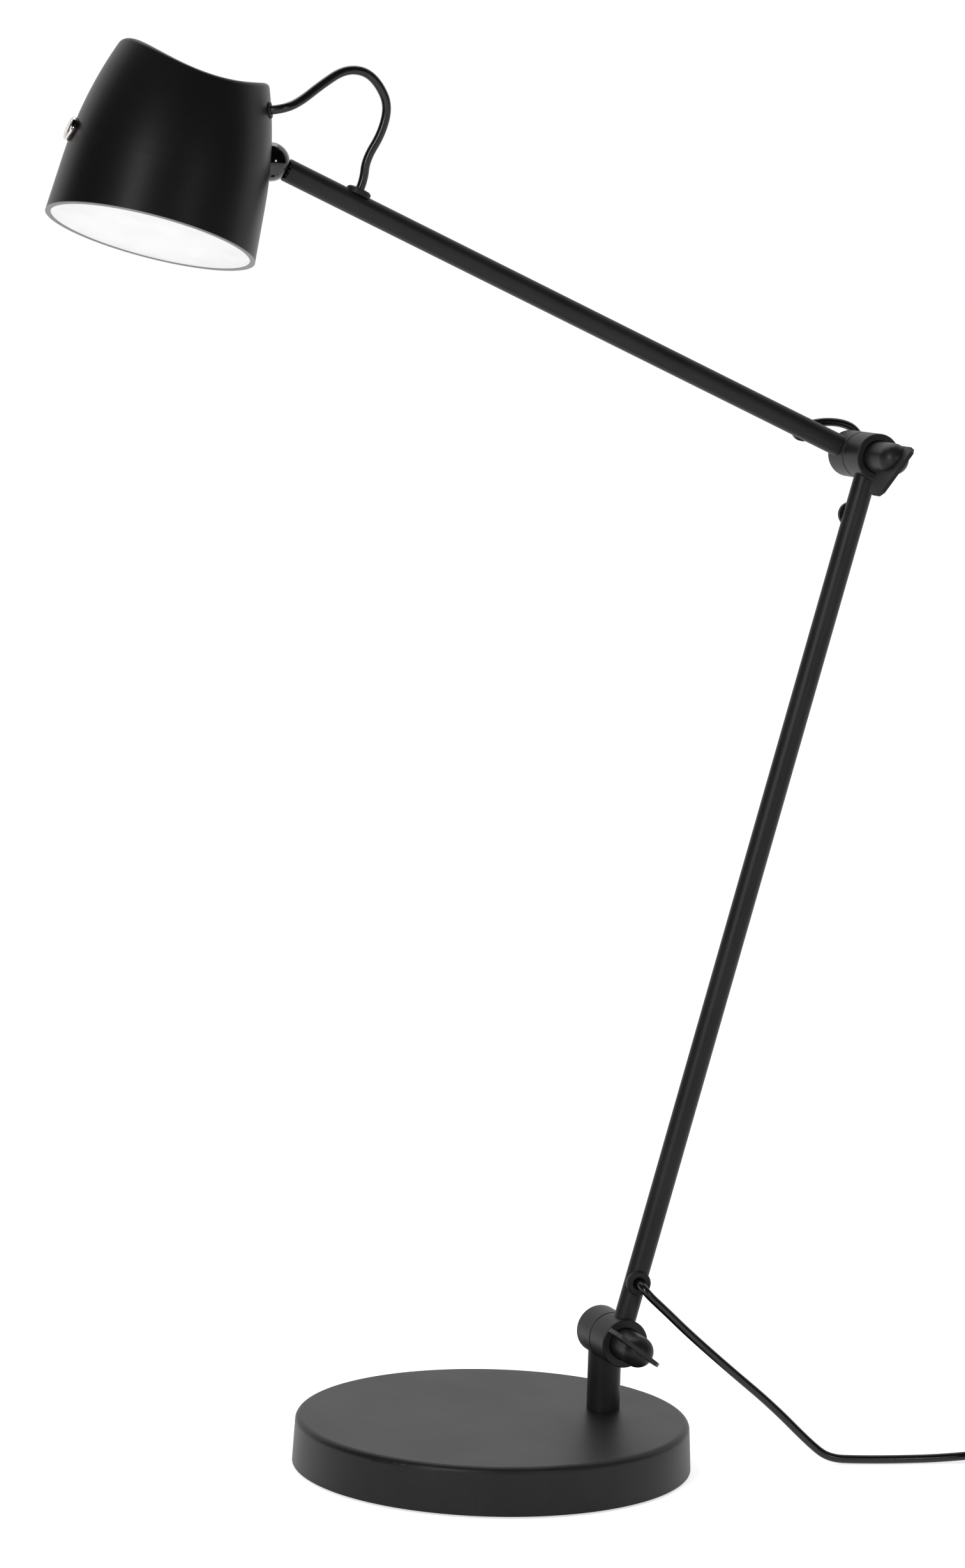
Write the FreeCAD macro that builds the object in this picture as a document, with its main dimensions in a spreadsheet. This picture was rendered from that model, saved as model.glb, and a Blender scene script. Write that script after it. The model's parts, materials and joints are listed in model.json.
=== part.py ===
"""Desk lamp: heavy round base, short post, two clamped tube arms, ball-jointed LED head.

Millimetres, +Z up, origin in the middle of the base's underside. The arms swing in
the XZ plane; -X is the side that the head hangs over and -Y is the front, where the
two clamping knobs stand.
"""
import FreeCAD
import Part
import Sketcher
import math
import os
import re
from FreeCAD import Placement, Rotation, Vector

X_AXIS, Y_AXIS, Z_AXIS = Vector(1, 0, 0), Vector(0, 1, 0), Vector(0, 0, 1)

# ------------------------------------------------------------------ driving sizes
# Each row: the cell's alias, its value (mm or degrees) and what it is.
SIZES = [
    ("base_top_radius", 105.8, "base cover at its top edge, before rounding"),
    ("base_foot_radius", 107.15, "base cover at its foot"),
    ("base_height", 26.3, "rest face to the cover's top"),
    ("base_edge_round", 3.5, "rounding of the cover's top edge"),
    ("cover_wall", 2.3, "thickness of the base cover"),
    ("skirt_gap", 1.0, "rest face to the cover's lower edge"),
    ("pad_radius", 101.0, "rubber pad"),
    ("pad_thickness", 2.0, "rubber pad"),
    ("plate_radius", 103.4, "steel plate over the pad"),
    ("plate_thickness", 1.5, "steel plate over the pad"),
    ("ballast_radius", 94.0, "iron ballast disc"),
    ("plate_screw_circle", 70.0, "radius of the circle of the three plate screws"),
    ("plate_screw_radius", 2.0, "plate screw shank"),
    ("post_offset", 64.3, "post axis from the base's middle, along X"),
    ("post_radius", 9.0, "post"),
    ("joint_height", 68.4, "lower joint axis above the rest face"),
    ("screw_radius", 4.0, "post screw and hinge bolt shanks"),
    ("lower_barrel_radius", 13.1, "barrels of the lower joint"),
    ("elbow_barrel_radius", 12.5, "barrels of the elbow"),
    ("back_half", 9.2, "half length of a back barrel"),
    ("seam", 0.3, "friction washer between the barrels"),
    ("front_face", 27.9, "front barrel's outer face, before the arm plane"),
    ("barrel_chamfer", 0.5, "barrel edges"),
    ("recess_radius", 9.1, "knob recess in the front barrel"),
    ("recess_floor", 25.4, "floor of the knob recess"),
    ("cap_recess_radius", 6.7, "bolt head recess in a back barrel"),
    ("cap_recess_floor", 3.7, "floor of the bolt head recess behind the arm plane"),
    ("bolt_head_radius", 6.2, "hinge bolt head"),
    ("bolt_end", 38.0, "tip of the hinge bolt"),
    ("running_gap", 0.06, "radial clearance of turning fits"),
    ("spring_washer_thickness", 0.9, "spring washer under a knob"),
    ("knob_radius", 8.5, "round body of a knob"),
    ("knob_dome_start", 45.0, "where the knob's dome begins"),
    ("insert_radius", 6.2, "brass insert in a knob"),
    ("insert_end", 40.2, "end of the brass insert"),
    ("wing_thickness", 2.2, "knob wing"),
    ("wing_top", 60.7, "outer edge of the knob wing"),
    ("wing_long", 23.0, "long side of the wing from the knob's axis"),
    ("wing_short", 8.2, "short side of the wing from the knob's axis"),
    ("wing_shoulder", 13.2, "from the wing's outer edge down to its long side's lower corner"),
    ("wing_shoulder_round", 4.0, "rounding of that lower corner"),
    ("wing_chamfer", 2.6, "cut corners of the wing"),
    ("elbow_knob_turn", -127.5, "where the elbow knob's long wing points"),
    ("lower_knob_turn", 142.4, "where the lower knob's long wing points"),
    ("arm_plane_gap", 18.7, "lower arm's plane before the upper arm's plane"),
    ("tube_radius", 6.0, "both arm tubes"),
    ("tube_bore", 4.8, "bore radius of both tubes"),
    ("tube_socket", 7.5, "tube end to the barrel's axis"),
    ("lower_length", 493.4, "lower joint axis to elbow axis"),
    ("lower_lean", 15.37, "lower arm's lean from upright towards +X"),
    ("upper_length", 366.7, "elbow axis to the ball's centre"),
    ("upper_rise", 23.63, "upper arm's rise above level, towards -X"),
    ("upper_tube_end", 357.0, "elbow axis to the upper tube's end"),
    ("cord_radius", 2.3, "round lead, the same all the way through the lamp"),
    ("grommet_radius", 6.6, "rubber grommets in the tubes"),
    ("grommet_neck", 3.6, "grommet neck and its hole in the tube"),
    ("grommet_mouth", 7.8, "grommet's outer face from the tube's axis"),
    ("mains_grommet_at", 33.1, "mains grommet along the lower arm"),
    ("low_elbow_grommet_at", 460.8, "grommet under the elbow, along the lower arm"),
    ("top_elbow_grommet_at", 32.0, "grommet above the elbow, along the upper arm"),
    ("head_grommet_at", 317.0, "grommet near the head, along the upper arm"),
    ("ball_radius", 10.0, "head ball"),
    ("stud_radius", 1.5, "stud inside the head"),
    ("swivel_radius", 2.0, "stud in the arm's end plug"),
    ("stud_reach", 23.0, "stud's tip from the ball's centre"),
    ("seat_dome", 13.0, "outer radius of the socket seat's dome"),
    ("shade_rim_radius", 54.5, "shade at its rim"),
    ("cone_height", 30.0, "straight part of the shade's side"),
    ("cone_radius", 52.55, "shade at the top of its straight part"),
    ("bow_radius", 218.0, "radius of the bowed part of the shade's side"),
    ("blank_height", 99.0, "bowed side before the saddle is cut"),
    ("shade_wall", 1.8, "shade"),
    ("lip_radius", 51.9, "inner radius of the shade's rim"),
    ("lip_height", 4.0, "height of the thick rim"),
    ("saddle_low", 79.6, "lowest line of the shade's saddle top above the rim"),
    ("saddle_radius", 58.0, "hollow of the saddle"),
    ("saddle_across", 1.3, "the saddle's lowest line from the shade's axis, towards the ball"),
    ("shade_edge_round", 2.6, "rounding between side and saddle"),
    ("ball_from_axis", 50.9, "ball's centre from the shade's axis"),
    ("ball_above_rim", 55.5, "ball's centre above the rim"),
    ("shade_tilt", 16.0, "shade's tilt towards the arm side"),
    ("shade_roll", -7.65, "shade's roll towards the front"),
    ("shade_spin", -5.1, "shade's turn about its own axis"),
    ("switch_height", 41.0, "switch above the rim"),
    ("switch_radius", 6.5, "switch bezel"),
    ("button_radius", 4.55, "switch button"),
    ("button_travel", 0.8, "switch button's stroke"),
    ("lead_entry_height", 76.0, "lead's entry into the shade, above the rim"),
    ("lead_entry_angle", -28.0, "lead's entry, about the shade's axis"),
    ("collar_height", 0.8, "shade grommet's flange, proud of the side"),
    ("board_height", 13.2, "LED board above the rim"),
    ("chip_side", 3.0, "LED chip"),
    ("chip_height", 0.7, "LED chip"),
    ("chip_circle", 27.0, "radius of the outer circle of chips"),
    ("chip_inner_circle", 14.0, "radius of the inner circle of chips"),
    ("sink_radius", 47.5, "heat sink"),
    ("sink_thickness", 3.2, "heat sink's plate"),
    ("fin_circle", 40.0, "radius that the heat sink's fins reach"),
    ("fin_thickness", 1.4, "heat sink's fins"),
    ("fin_height", 8.0, "heat sink's fins"),
    ("sink_screw_circle", 45.8, "radius of the circle of the three heat sink screws"),
    ("sink_screw_radius", 1.25, "heat sink screw shank"),
    ("driver_height", 30.0, "driver's card above the rim"),
    ("card_thickness", 1.6, "driver's card"),
    ("plug_x", 333.0, "plug's axis"),
    ("plug_y", -16.0, "where the plug's strain relief begins"),
    ("plug_height", 6.85, "plug's axis above the rest face"),
    ("plug_thickness", 13.7, "plug's grip"),
    ("pin_radius", 2.0, "plug pins"),
    ("pin_gap", 19.0, "from pin axis to pin axis"),
    ("pin_length", 20.0, "plug pins out of the grip"),
    ("sleeve_radius", 1.9, "insulating sleeves of the pins"),
    ("sleeve_length", 10.0, "insulating sleeves of the pins"),
    ("coil_inner", 20.0, "smallest turn of the stored cord, at its centreline"),
    ("coil_outer", 32.0, "largest turn of the stored cord, at its centreline"),
    ("coil_turns", 2.25, "turns in each layer of the stored cord"),
    ("coil_layers", 4.0, "layers of the stored cord"),
    ("coil_pitch", 5.1, "height from layer to layer"),
    ("coil_bottom", 3.6, "centreline of the lowest layer above the rest face"),
    ("coil_x", 281.0, "middle of the stored cord"),
    ("coil_y", -98.0, "middle of the stored cord"),
]
VALUES = {alias: value for alias, value, _ in SIZES}

document = FreeCAD.newDocument("DeskLamp")
sheet = document.addObject("Spreadsheet::Sheet", "Dimensions")
for row, (alias, value, meaning) in enumerate(SIZES, start=1):
    sheet.set(f"A{row}", meaning)
    sheet.set(f"B{row}", str(value))
    sheet.setAlias(f"B{row}", alias)
document.recompute()


# ------------------------------------------------------------------ formulas
def formula(text):
    """A formula on the sheet's aliases, such as 'post_radius * 2', as an expression."""
    def cell(word):
        return f"Dimensions.{word[0]}" if word[0] in VALUES else word[0]
    return re.sub(r"[a-z]\w*", cell, str(text))


def size(text):
    """The present value of a formula on the sheet's aliases."""
    return float(sheet.evalExpression(formula(text)))


def bind(thing, prop, text):
    """Bind a property to a formula on the sheet."""
    thing.setExpression(prop, formula(text))


# ------------------------------------------------------------------ making pieces
def new_body(label, place=Placement()):
    """An empty body with its own name and place."""
    body = document.addObject("PartDesign::Body", label)
    body.Label = label
    body.Placement = place
    return body


def plane_of(body, role):
    """One of the body's own origin planes."""
    return next(plane for plane in body.Origin.OriginFeatures if plane.Role == role)


def hold(sketch, edge, end, across, up, along_edge):
    """Bind one sketch point to its two formulas; an arc's end keeps only one of them."""
    for kind, text, axis in (("DistanceX", across, -2), ("DistanceY", up, -1)):
        if along_edge and kind != along_edge:
            continue
        value = size(text)
        if abs(value) < 1e-9:
            sketch.addConstraint(Sketcher.Constraint("PointOnObject", edge, end, axis))
        elif value > 0:
            index = sketch.addConstraint(Sketcher.Constraint(kind, -1, 1, edge, end, value))
            sketch.setExpression(f"Constraints[{index}]", formula(text))
        else:
            index = sketch.addConstraint(Sketcher.Constraint(kind, edge, end, -1, 1, -value))
            sketch.setExpression(f"Constraints[{index}]", formula(f"-({text})"))


def outline(body, plane, corners):
    """A closed sketch through corners on one of the body's planes.

    A corner is (across, up), reached by a straight line, or (across, up, centre across,
    centre up), reached by an arc about that centre. All are formulas.
    """
    sketch = body.newObject("Sketcher::SketchObject", f"{body.Name}_outline")
    sketch.AttachmentSupport = [(plane_of(body, plane), "")]
    sketch.MapMode = "FlatFace"
    places = [Vector(size(corner[0]), size(corner[1]), 0) for corner in corners]
    count = len(corners)
    firsts, lasts = [], []
    for index, corner in enumerate(corners):
        start, end = places[index - 1], places[index]
        if len(corner) == 2:
            sketch.addGeometry(Part.LineSegment(start, end))
            firsts.append(1)
            lasts.append(2)
            continue
        centre = Vector(size(corner[2]), size(corner[3]), 0)
        spans = [math.atan2(point.y - centre.y, point.x - centre.x) for point in (start, end)]
        swept = (spans[1] - spans[0]) % (2 * math.pi)
        forward = swept < math.pi
        if not forward:
            spans.reverse()
        circle = Part.Circle(centre, Z_AXIS, (end - centre).Length)
        sketch.addGeometry(Part.ArcOfCircle(circle, spans[0], spans[1]))
        firsts.append(1 if forward else 2)
        lasts.append(2 if forward else 1)
    for index in range(count):
        following = (index + 1) % count
        sketch.addConstraint(
            Sketcher.Constraint("Coincident", index, lasts[index], following, firsts[following])
        )
    for index, corner in enumerate(corners):
        kept = None
        if len(corner) == 4:
            hold(sketch, index, 3, corner[2], corner[3], None)
            reach = places[index] - Vector(size(corner[2]), size(corner[3]), 0)
            kept = "DistanceY" if abs(reach.x) > abs(reach.y) else "DistanceX"
        hold(sketch, index, lasts[index], corner[0], corner[1], kept)
    return sketch


def turned(label, corners, place=Placement()):
    """A turned piece: the outline (radius, height) revolved about the body's Z axis."""
    body = new_body(label, place)
    sketch = outline(body, "XZ_Plane", corners)
    revolution = body.newObject("PartDesign::Revolution", f"{label}_turned")
    revolution.Profile = sketch
    revolution.ReferenceAxis = (sketch, ["V_Axis"])
    revolution.Angle = 360
    sketch.Visibility = False
    document.recompute()
    return body


def ring(label, inner, outer, low, high, place=Placement()):
    """A plain turned ring or disc between two radii and two heights."""
    return turned(label, [(inner, low), (outer, low), (outer, high), (inner, high)], place)


def slab(label, plane, corners, thickness, place=Placement(), body=None):
    """A flat piece: the outline on a plane, padded half its thickness to each side."""
    body = body or new_body(label, place)
    sketch = outline(body, plane, corners)
    pad = body.newObject("PartDesign::Pad", f"{label}_pad")
    pad.Profile = sketch
    pad.Midplane = True
    bind(pad, "Length", thickness)
    sketch.Visibility = False
    document.recompute()
    return body


def drill(body, radius, depth, at, towards):
    """Cut a round hole of a radius and depth from a point of the body towards a direction."""
    hole = body.newObject("PartDesign::SubtractiveCylinder", f"{body.Name}_hole")
    bind(hole, "Radius", radius)
    bind(hole, "Height", depth)
    hole.Placement = Placement(Vector(*[size(text) for text in at]), Rotation(Z_AXIS, towards))
    for axis, text in zip("xyz", at):
        bind(hole, f"Placement.Base.{axis}", text)
    document.recompute()
    return hole


def round_edges(body, radius, chosen):
    """Round the body's edges for which chosen(edge) is true."""
    base = body.Tip
    names = [f"Edge{index}" for index, edge in enumerate(base.Shape.Edges, start=1) if chosen(edge)]
    if not names:
        raise RuntimeError(f"{body.Label}: no edge to round")
    fillet = body.newObject("PartDesign::Fillet", f"{body.Name}_round")
    fillet.Base = (base, names)
    bind(fillet, "Radius", radius)
    document.recompute()
    return fillet


def joined(kind, label, parts, place=Placement()):
    """What is left of two pieces, common to them, or both in one, as the kind says."""
    result = document.addObject(kind, label)
    result.Label = label
    if kind == "Part::MultiFuse":
        result.Shapes = parts
    else:
        result.Base, result.Tool = parts
    result.Placement = place
    document.recompute()
    return result


def rod(label, radius, height, place=Placement()):
    """A plain cylinder whose radius and height are formulas."""
    cylinder = document.addObject("Part::Cylinder", label)
    bind(cylinder, "Radius", radius)
    bind(cylinder, "Height", height)
    cylinder.Placement = place
    return cylinder


def block(label, length, width, height, place):
    """A plain box whose sides are formulas, at a place of its low corner."""
    box = document.addObject("Part::Box", label)
    bind(box, "Length", length)
    bind(box, "Width", width)
    bind(box, "Height", height)
    box.Placement = place
    return box


def set_shape(label, shape):
    """A piece that holds a finished shape."""
    feature = document.addObject("Part::Feature", label)
    feature.Label = label
    feature.Shape = shape
    return feature


def moved(shape, place):
    """A copy of a shape, put at a place."""
    copy = shape.copy()
    copy.Placement = place.multiply(copy.Placement)
    return copy


# ------------------------------------------------------------------ frames of the lamp
def turn(axis, degrees):
    """A rotation about an axis."""
    return Rotation(axis, degrees)


LOWER_JOINT = Vector(size("post_offset"), 0, size("joint_height"))
LEAN = turn(Y_AXIS, size("lower_lean"))
RISE = turn(Y_AXIS, size("upper_rise") - 90)
ELBOW = LOWER_JOINT + LEAN.multVec(Vector(0, 0, size("lower_length")))
BALL = ELBOW + RISE.multVec(Vector(0, 0, size("upper_length")))
TO_FRONT = turn(X_AXIS, 90)

# In a joint's own frame Z points to the front, X stays and Y points up.
low_frame = Placement(LOWER_JOINT, TO_FRONT)
elbow_frame = Placement(ELBOW, TO_FRONT)
# In an arm's own frame Z runs along the arm, from its lower joint.
lower_frame = Placement(LOWER_JOINT - Y_AXIS * size("arm_plane_gap"), LEAN)
upper_frame = Placement(ELBOW, RISE)
ball_frame = Placement(BALL, RISE)
# In the shade's own frame Z runs from the rim to the top and X points at the ball.
SHADE_TURN = (turn(Y_AXIS, size("shade_tilt")) * turn(X_AXIS, size("shade_roll"))
              * turn(Z_AXIS, size("shade_spin")))
RIM = BALL - SHADE_TURN.multVec(Vector(size("ball_from_axis"), 0, size("ball_above_rim")))
shade_frame = Placement(RIM, SHADE_TURN)


# ------------------------------------------------------------------ base
def build_base():
    """Cover, ballast, plate, pad, their screws and the post."""
    cover = turned("base_cover", [
        ("0", "base_height - cover_wall"),
        ("base_top_radius - cover_wall", "base_height - cover_wall"),
        ("base_foot_radius - cover_wall", "skirt_gap"),
        ("base_foot_radius", "skirt_gap"),
        ("base_top_radius", "base_height"),
        ("0", "base_height"),
    ])
    rim = size("base_top_radius")
    round_edges(cover, "base_edge_round", lambda edge: abs(edge.BoundBox.ZMin - size("base_height")) < 0.01
                and abs(edge.BoundBox.XMax - rim) < 0.01)
    drill(cover, "screw_radius + 0.5", "10", ("post_offset", "0", "base_height - 5"), Z_AXIS)

    ballast = ring("ballast_disc", "0", "ballast_radius", "pad_thickness + plate_thickness",
                   "base_height - cover_wall")
    drill(ballast, "screw_radius + 0.5", "30", ("post_offset", "0", "0"), Z_AXIS)
    drill(ballast, "9", "11.5", ("post_offset", "0", "0"), Z_AXIS)

    plate = ring("base_plate", "0", "plate_radius", "pad_thickness", "pad_thickness + plate_thickness")
    ring("base_pad", "0", "pad_radius", "0", "pad_thickness")

    screws = []
    for index in range(3):
        angle = math.radians(60 + 120 * index)
        at = (f"plate_screw_circle * {math.cos(angle):.6f}", f"plate_screw_circle * {math.sin(angle):.6f}")
        drill(ballast, "plate_screw_radius", "10", (*at, "pad_thickness"), Z_AXIS)
        drill(plate, "plate_screw_radius", "5", (*at, "0"), Z_AXIS)
        screw = Part.makeCylinder(size("plate_screw_radius"), 8.0, Vector(0, 0, size("pad_thickness")))
        screws.append(moved(screw, Placement(Vector(size(at[0]), size(at[1]), 0), Rotation())))
    set_shape("plate_screws", Part.makeCompound(screws))

    at_post = Placement(Vector(size("post_offset"), 0, 0), Rotation())
    turned("post_screw", [
        ("0", "5.5"), ("7.5", "5.5"), ("7.5", "11.5"), ("screw_radius", "11.5"),
        ("screw_radius", "46"), ("0", "46"),
    ], at_post)

    post = ring("post", "0", "post_radius", "base_height", "joint_height - 4", at_post)
    drill(post, "screw_radius", "46.2 - base_height", ("0", "0", "base_height"), Z_AXIS)
    drill(post, "lower_barrel_radius", "40", ("0", "-20", "joint_height"), Y_AXIS)


# ------------------------------------------------------------------ clamped joints
def back_barrel(prefix, frame, arm_direction=None):
    """The barrel behind: holds the bolt's head in a recess, and an arm if it has one."""
    outside = f"{prefix}_barrel_radius"
    body = turned(f"{prefix}_back_barrel", [
        ("screw_radius", "-cap_recess_floor"),
        ("cap_recess_radius", "-cap_recess_floor"),
        ("cap_recess_radius", "-back_half"),
        (f"{outside} - barrel_chamfer", "-back_half"),
        (outside, "-back_half + barrel_chamfer"),
        (outside, "back_half - barrel_chamfer"),
        (f"{outside} - barrel_chamfer", "back_half"),
        ("screw_radius", "back_half"),
    ], frame)
    if arm_direction:
        x, y = arm_direction
        drill(body, "tube_radius", "10",
              (f"tube_socket * {x:.6f}", f"tube_socket * {y:.6f}", "0"), Vector(x, y, 0))
    return body


def front_barrel(prefix, frame, arm_direction):
    """The barrel in front: turns on the bolt, carries the lower arm, takes the knob's boss."""
    outside = f"{prefix}_barrel_radius"
    body = turned(f"{prefix}_front_barrel", [
        ("screw_radius + running_gap", "back_half + seam"),
        (f"{outside} - barrel_chamfer", "back_half + seam"),
        (outside, "back_half + seam + barrel_chamfer"),
        (outside, "front_face - barrel_chamfer"),
        (f"{outside} - barrel_chamfer", "front_face"),
        ("recess_radius", "front_face"),
        ("recess_radius", "recess_floor"),
        ("screw_radius + running_gap", "recess_floor"),
    ], frame)
    x, y = arm_direction
    drill(body, "tube_radius", "10",
          (f"tube_socket * {x:.6f}", f"tube_socket * {y:.6f}", "arm_plane_gap"), Vector(x, y, 0))
    return body


def hinge_parts(prefix, frame):
    """Bolt, friction washer and spring washer of one joint."""
    turned(f"{prefix}_hinge_bolt", [
        ("0", "-cap_recess_floor - 4"), ("bolt_head_radius", "-cap_recess_floor - 4"),
        ("bolt_head_radius", "-cap_recess_floor"), ("screw_radius", "-cap_recess_floor"),
        ("screw_radius", "bolt_end - 1"), ("screw_radius - 1", "bolt_end"), ("0", "bolt_end"),
    ], frame)
    ring(f"{prefix}_friction_washer", "screw_radius + 0.3", f"{prefix}_barrel_radius - 0.7", "back_half",
         "back_half + seam", frame)
    ring(f"{prefix}_spring_washer", "screw_radius + 0.3", "recess_radius - 1.2", "recess_floor",
         "recess_floor + spring_washer_thickness", frame)


def knob(prefix, frame, angle):
    """Moulded knob with a dome and a lopsided wing, and its threaded brass insert."""
    place = frame.multiply(Placement(Vector(), turn(Z_AXIS, angle)))
    bottom = "recess_floor + spring_washer_thickness"
    body = turned(f"{prefix}_knob", [
        ("insert_radius", bottom), ("knob_radius", bottom), ("knob_radius", "knob_dome_start"),
        ("0", "knob_dome_start + knob_radius", "0", "knob_dome_start"),
        ("0", "insert_end"), ("insert_radius", "insert_end"),
    ], place)
    slab(f"{prefix}_wing", "XZ_Plane", [
        ("6.6", "42.5"), ("6.6", "39.6"), ("knob_radius", "39.6"),
        ("wing_long", "wing_top - wing_shoulder"),
        ("wing_long", "wing_top - wing_chamfer"), ("wing_long - wing_chamfer", "wing_top"),
        ("-wing_short + wing_chamfer", "wing_top"), ("-wing_short", "wing_top - wing_chamfer"),
        ("-wing_short", "knob_dome_start - 1"), ("-6.6", "42.5"),
    ], "wing_thickness", body=body)
    shoulder = size("wing_top - wing_shoulder")
    round_edges(body, "wing_shoulder_round", lambda edge: edge.BoundBox.YLength > 2
                and edge.BoundBox.XLength < 0.01
                and abs(edge.BoundBox.XMax - size("wing_long")) < 0.01
                and abs(edge.BoundBox.ZMax - shoulder) < 0.01)
    ring(f"{prefix}_knob_insert", "screw_radius + running_gap", "insert_radius",
         bottom, "insert_end", place)


def build_joints():
    """The lower joint on the post and the elbow."""
    lean = math.radians(size("lower_lean"))
    rise = math.radians(size("upper_rise"))
    along_lower = (math.sin(lean), math.cos(lean))
    down_lower = (-math.sin(lean), -math.cos(lean))
    along_upper = (-math.cos(rise), math.sin(rise))

    back_barrel("lower", low_frame)
    front_barrel("lower", low_frame, along_lower)
    hinge_parts("lower", low_frame)
    knob("lower", low_frame, size("lower_knob_turn"))

    back_barrel("elbow", elbow_frame, along_upper)
    front_barrel("elbow", elbow_frame, down_lower)
    hinge_parts("elbow", elbow_frame)
    knob("elbow", elbow_frame, size("elbow_knob_turn"))


# ------------------------------------------------------------------ arms
def unit(degrees):
    """The direction across an arm that is so many degrees from the arm's own X towards Y."""
    angle = math.radians(degrees)
    return Vector(math.cos(angle), math.sin(angle), 0)


# Which way each grommet faces across its arm, in degrees from the arm's own X towards Y.
FRONT, BACK, UP = -98, 88, 0


def grommet(label, frame, height, facing):
    """A rubber grommet that fills a hole in a tube, with a flange cut to the tube."""
    across = unit(facing)
    place = frame.multiply(Placement(Vector(0, 0, size(height)), Rotation(Z_AXIS, across)))
    flange = turned(f"{label}_flange", [
        ("cord_radius + 0.1", "4.6"), ("grommet_radius", "4.6"), ("grommet_radius", "grommet_mouth - 0.8"),
        ("grommet_radius - 0.8", "grommet_mouth"), ("grommet_neck", "grommet_mouth"),
        ("cord_radius + 0.1", "grommet_mouth - 1.6"),
    ], place)
    tube = rod(f"{label}_tube", "tube_radius", "20",
               frame.multiply(Placement(Vector(0, 0, size(height) - 10), Rotation())))
    saddle = joined("Part::Cut", f"{label}_saddle", [flange, tube])
    neck = ring(f"{label}_neck", "cord_radius + 0.1", "grommet_neck",
                "tube_bore - 0.1", "tube_radius + 0.1", place)
    joined("Part::MultiFuse", label, [saddle, neck])


def arm_tube(label, frame, low, high, holes):
    """A round tube with its lead holes, each (height along the arm, facing)."""
    body = ring(label, "tube_bore", "tube_radius", low, high, frame)
    for height, facing in holes:
        drill(body, "grommet_neck", "tube_radius + 3", ("0", "0", height), unit(facing))
    return body


def build_arms():
    """Both tubes and their grommets."""
    arm_tube("lower_arm_tube", lower_frame, "tube_socket", "lower_length - tube_socket",
             [("mains_grommet_at", FRONT), ("low_elbow_grommet_at", BACK)])
    arm_tube("upper_arm_tube", upper_frame, "tube_socket", "upper_tube_end",
             [("top_elbow_grommet_at", BACK), ("head_grommet_at", UP)])
    grommet("mains_grommet", lower_frame, "mains_grommet_at", FRONT)
    grommet("elbow_grommet_low", lower_frame, "low_elbow_grommet_at", BACK)
    grommet("elbow_grommet_top", upper_frame, "top_elbow_grommet_at", BACK)
    grommet("head_grommet", upper_frame, "head_grommet_at", UP)


# ------------------------------------------------------------------ shade
BOW_SLOPE = "(shade_rim_radius - cone_radius) / cone_height"
BOW_LENGTH = f"sqrt(1 + ({BOW_SLOPE}) * ({BOW_SLOPE}))"
BOW_ACROSS = f"(cone_radius - bow_radius / ({BOW_LENGTH}))"
BOW_UP = f"(cone_height - bow_radius * ({BOW_SLOPE}) / ({BOW_LENGTH}))"


def side_radius(height, inset="0"):
    """The radius of the bowed side at a height above the rim, as a formula."""
    reach = f"(bow_radius - ({inset}))"
    return f"({BOW_ACROSS} + sqrt({reach} * {reach} - (({height}) - {BOW_UP}) * (({height}) - {BOW_UP})))"


def side_slope(height):
    """How far the bowed side leans inwards at a height, in degrees."""
    return math.degrees(math.asin((size(height) - size(BOW_UP)) / size("bow_radius")))


def scoop(body, radius):
    """Cut the saddle: a hollow along the shade's own Y axis, over its lowest line."""
    drill(body, radius, "160", ("saddle_across", "-80", "saddle_low + saddle_radius"), Y_AXIS)


def build_shade():
    """The shade as its outer form less its hollow, which later pieces are fitted to."""
    outer = turned("shade_outer", [
        ("0", "0"), ("shade_rim_radius", "0"), ("cone_radius", "cone_height"),
        (side_radius("blank_height"), "blank_height", BOW_ACROSS, BOW_UP),
        ("0", "blank_height"),
    ], shade_frame)
    scoop(outer, "saddle_radius")
    low = size("saddle_low")
    round_edges(outer, "shade_edge_round", lambda edge: edge.BoundBox.ZLength > 5
                and edge.BoundBox.ZMin > low - 2 and edge.Length > 100)
    # The hollow: the same side set in by the wall, and a scoop that is larger by the wall.
    inset = "shade_wall"
    hollow = turned("shade_hollow", [
        ("0", "-2"), ("lip_radius", "-2"), ("lip_radius", "lip_height"),
        ("shade_rim_radius - shade_wall * 1.15", "lip_height"),
        (side_radius("cone_height", inset), "cone_height"),
        (side_radius("blank_height", inset), "blank_height", BOW_ACROSS, BOW_UP),
        ("0", "blank_height"),
    ], shade_frame)
    scoop(hollow, "saddle_radius + shade_wall")
    shell = joined("Part::Cut", "shade_shell", [outer, hollow])

    # Three holes: the ball's, the switch's and the lead's, each begun inside the wall.
    inside = Placement(Vector(0, 0, -8), Rotation())
    holes = [
        rod("ball_hole", "ball_radius + 0.3", "24", seat_frame().multiply(inside)),
        rod("switch_hole", "5.65", "12", switch_frame().multiply(inside)),
        rod("lead_hole", "3.4", "12", entry_frame().multiply(inside)),
    ]
    joined("Part::Cut", "shade", [shell, joined("Part::MultiFuse", "shade_holes", holes)])


def wall_frame(height, azimuth, out=0.0):
    """A frame on the shade's outer side, with Z square to the wall and pointing out."""
    angle, lean = math.radians(azimuth), math.radians(side_slope(height))
    radius = size(side_radius(height))
    across = Vector(math.cos(angle), math.sin(angle), 0)
    normal = across * math.cos(lean) + Z_AXIS * math.sin(lean)
    place = across * radius + Z_AXIS * size(height) + normal * out
    return shade_frame.multiply(Placement(place, Rotation(Z_AXIS, normal)))


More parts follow.
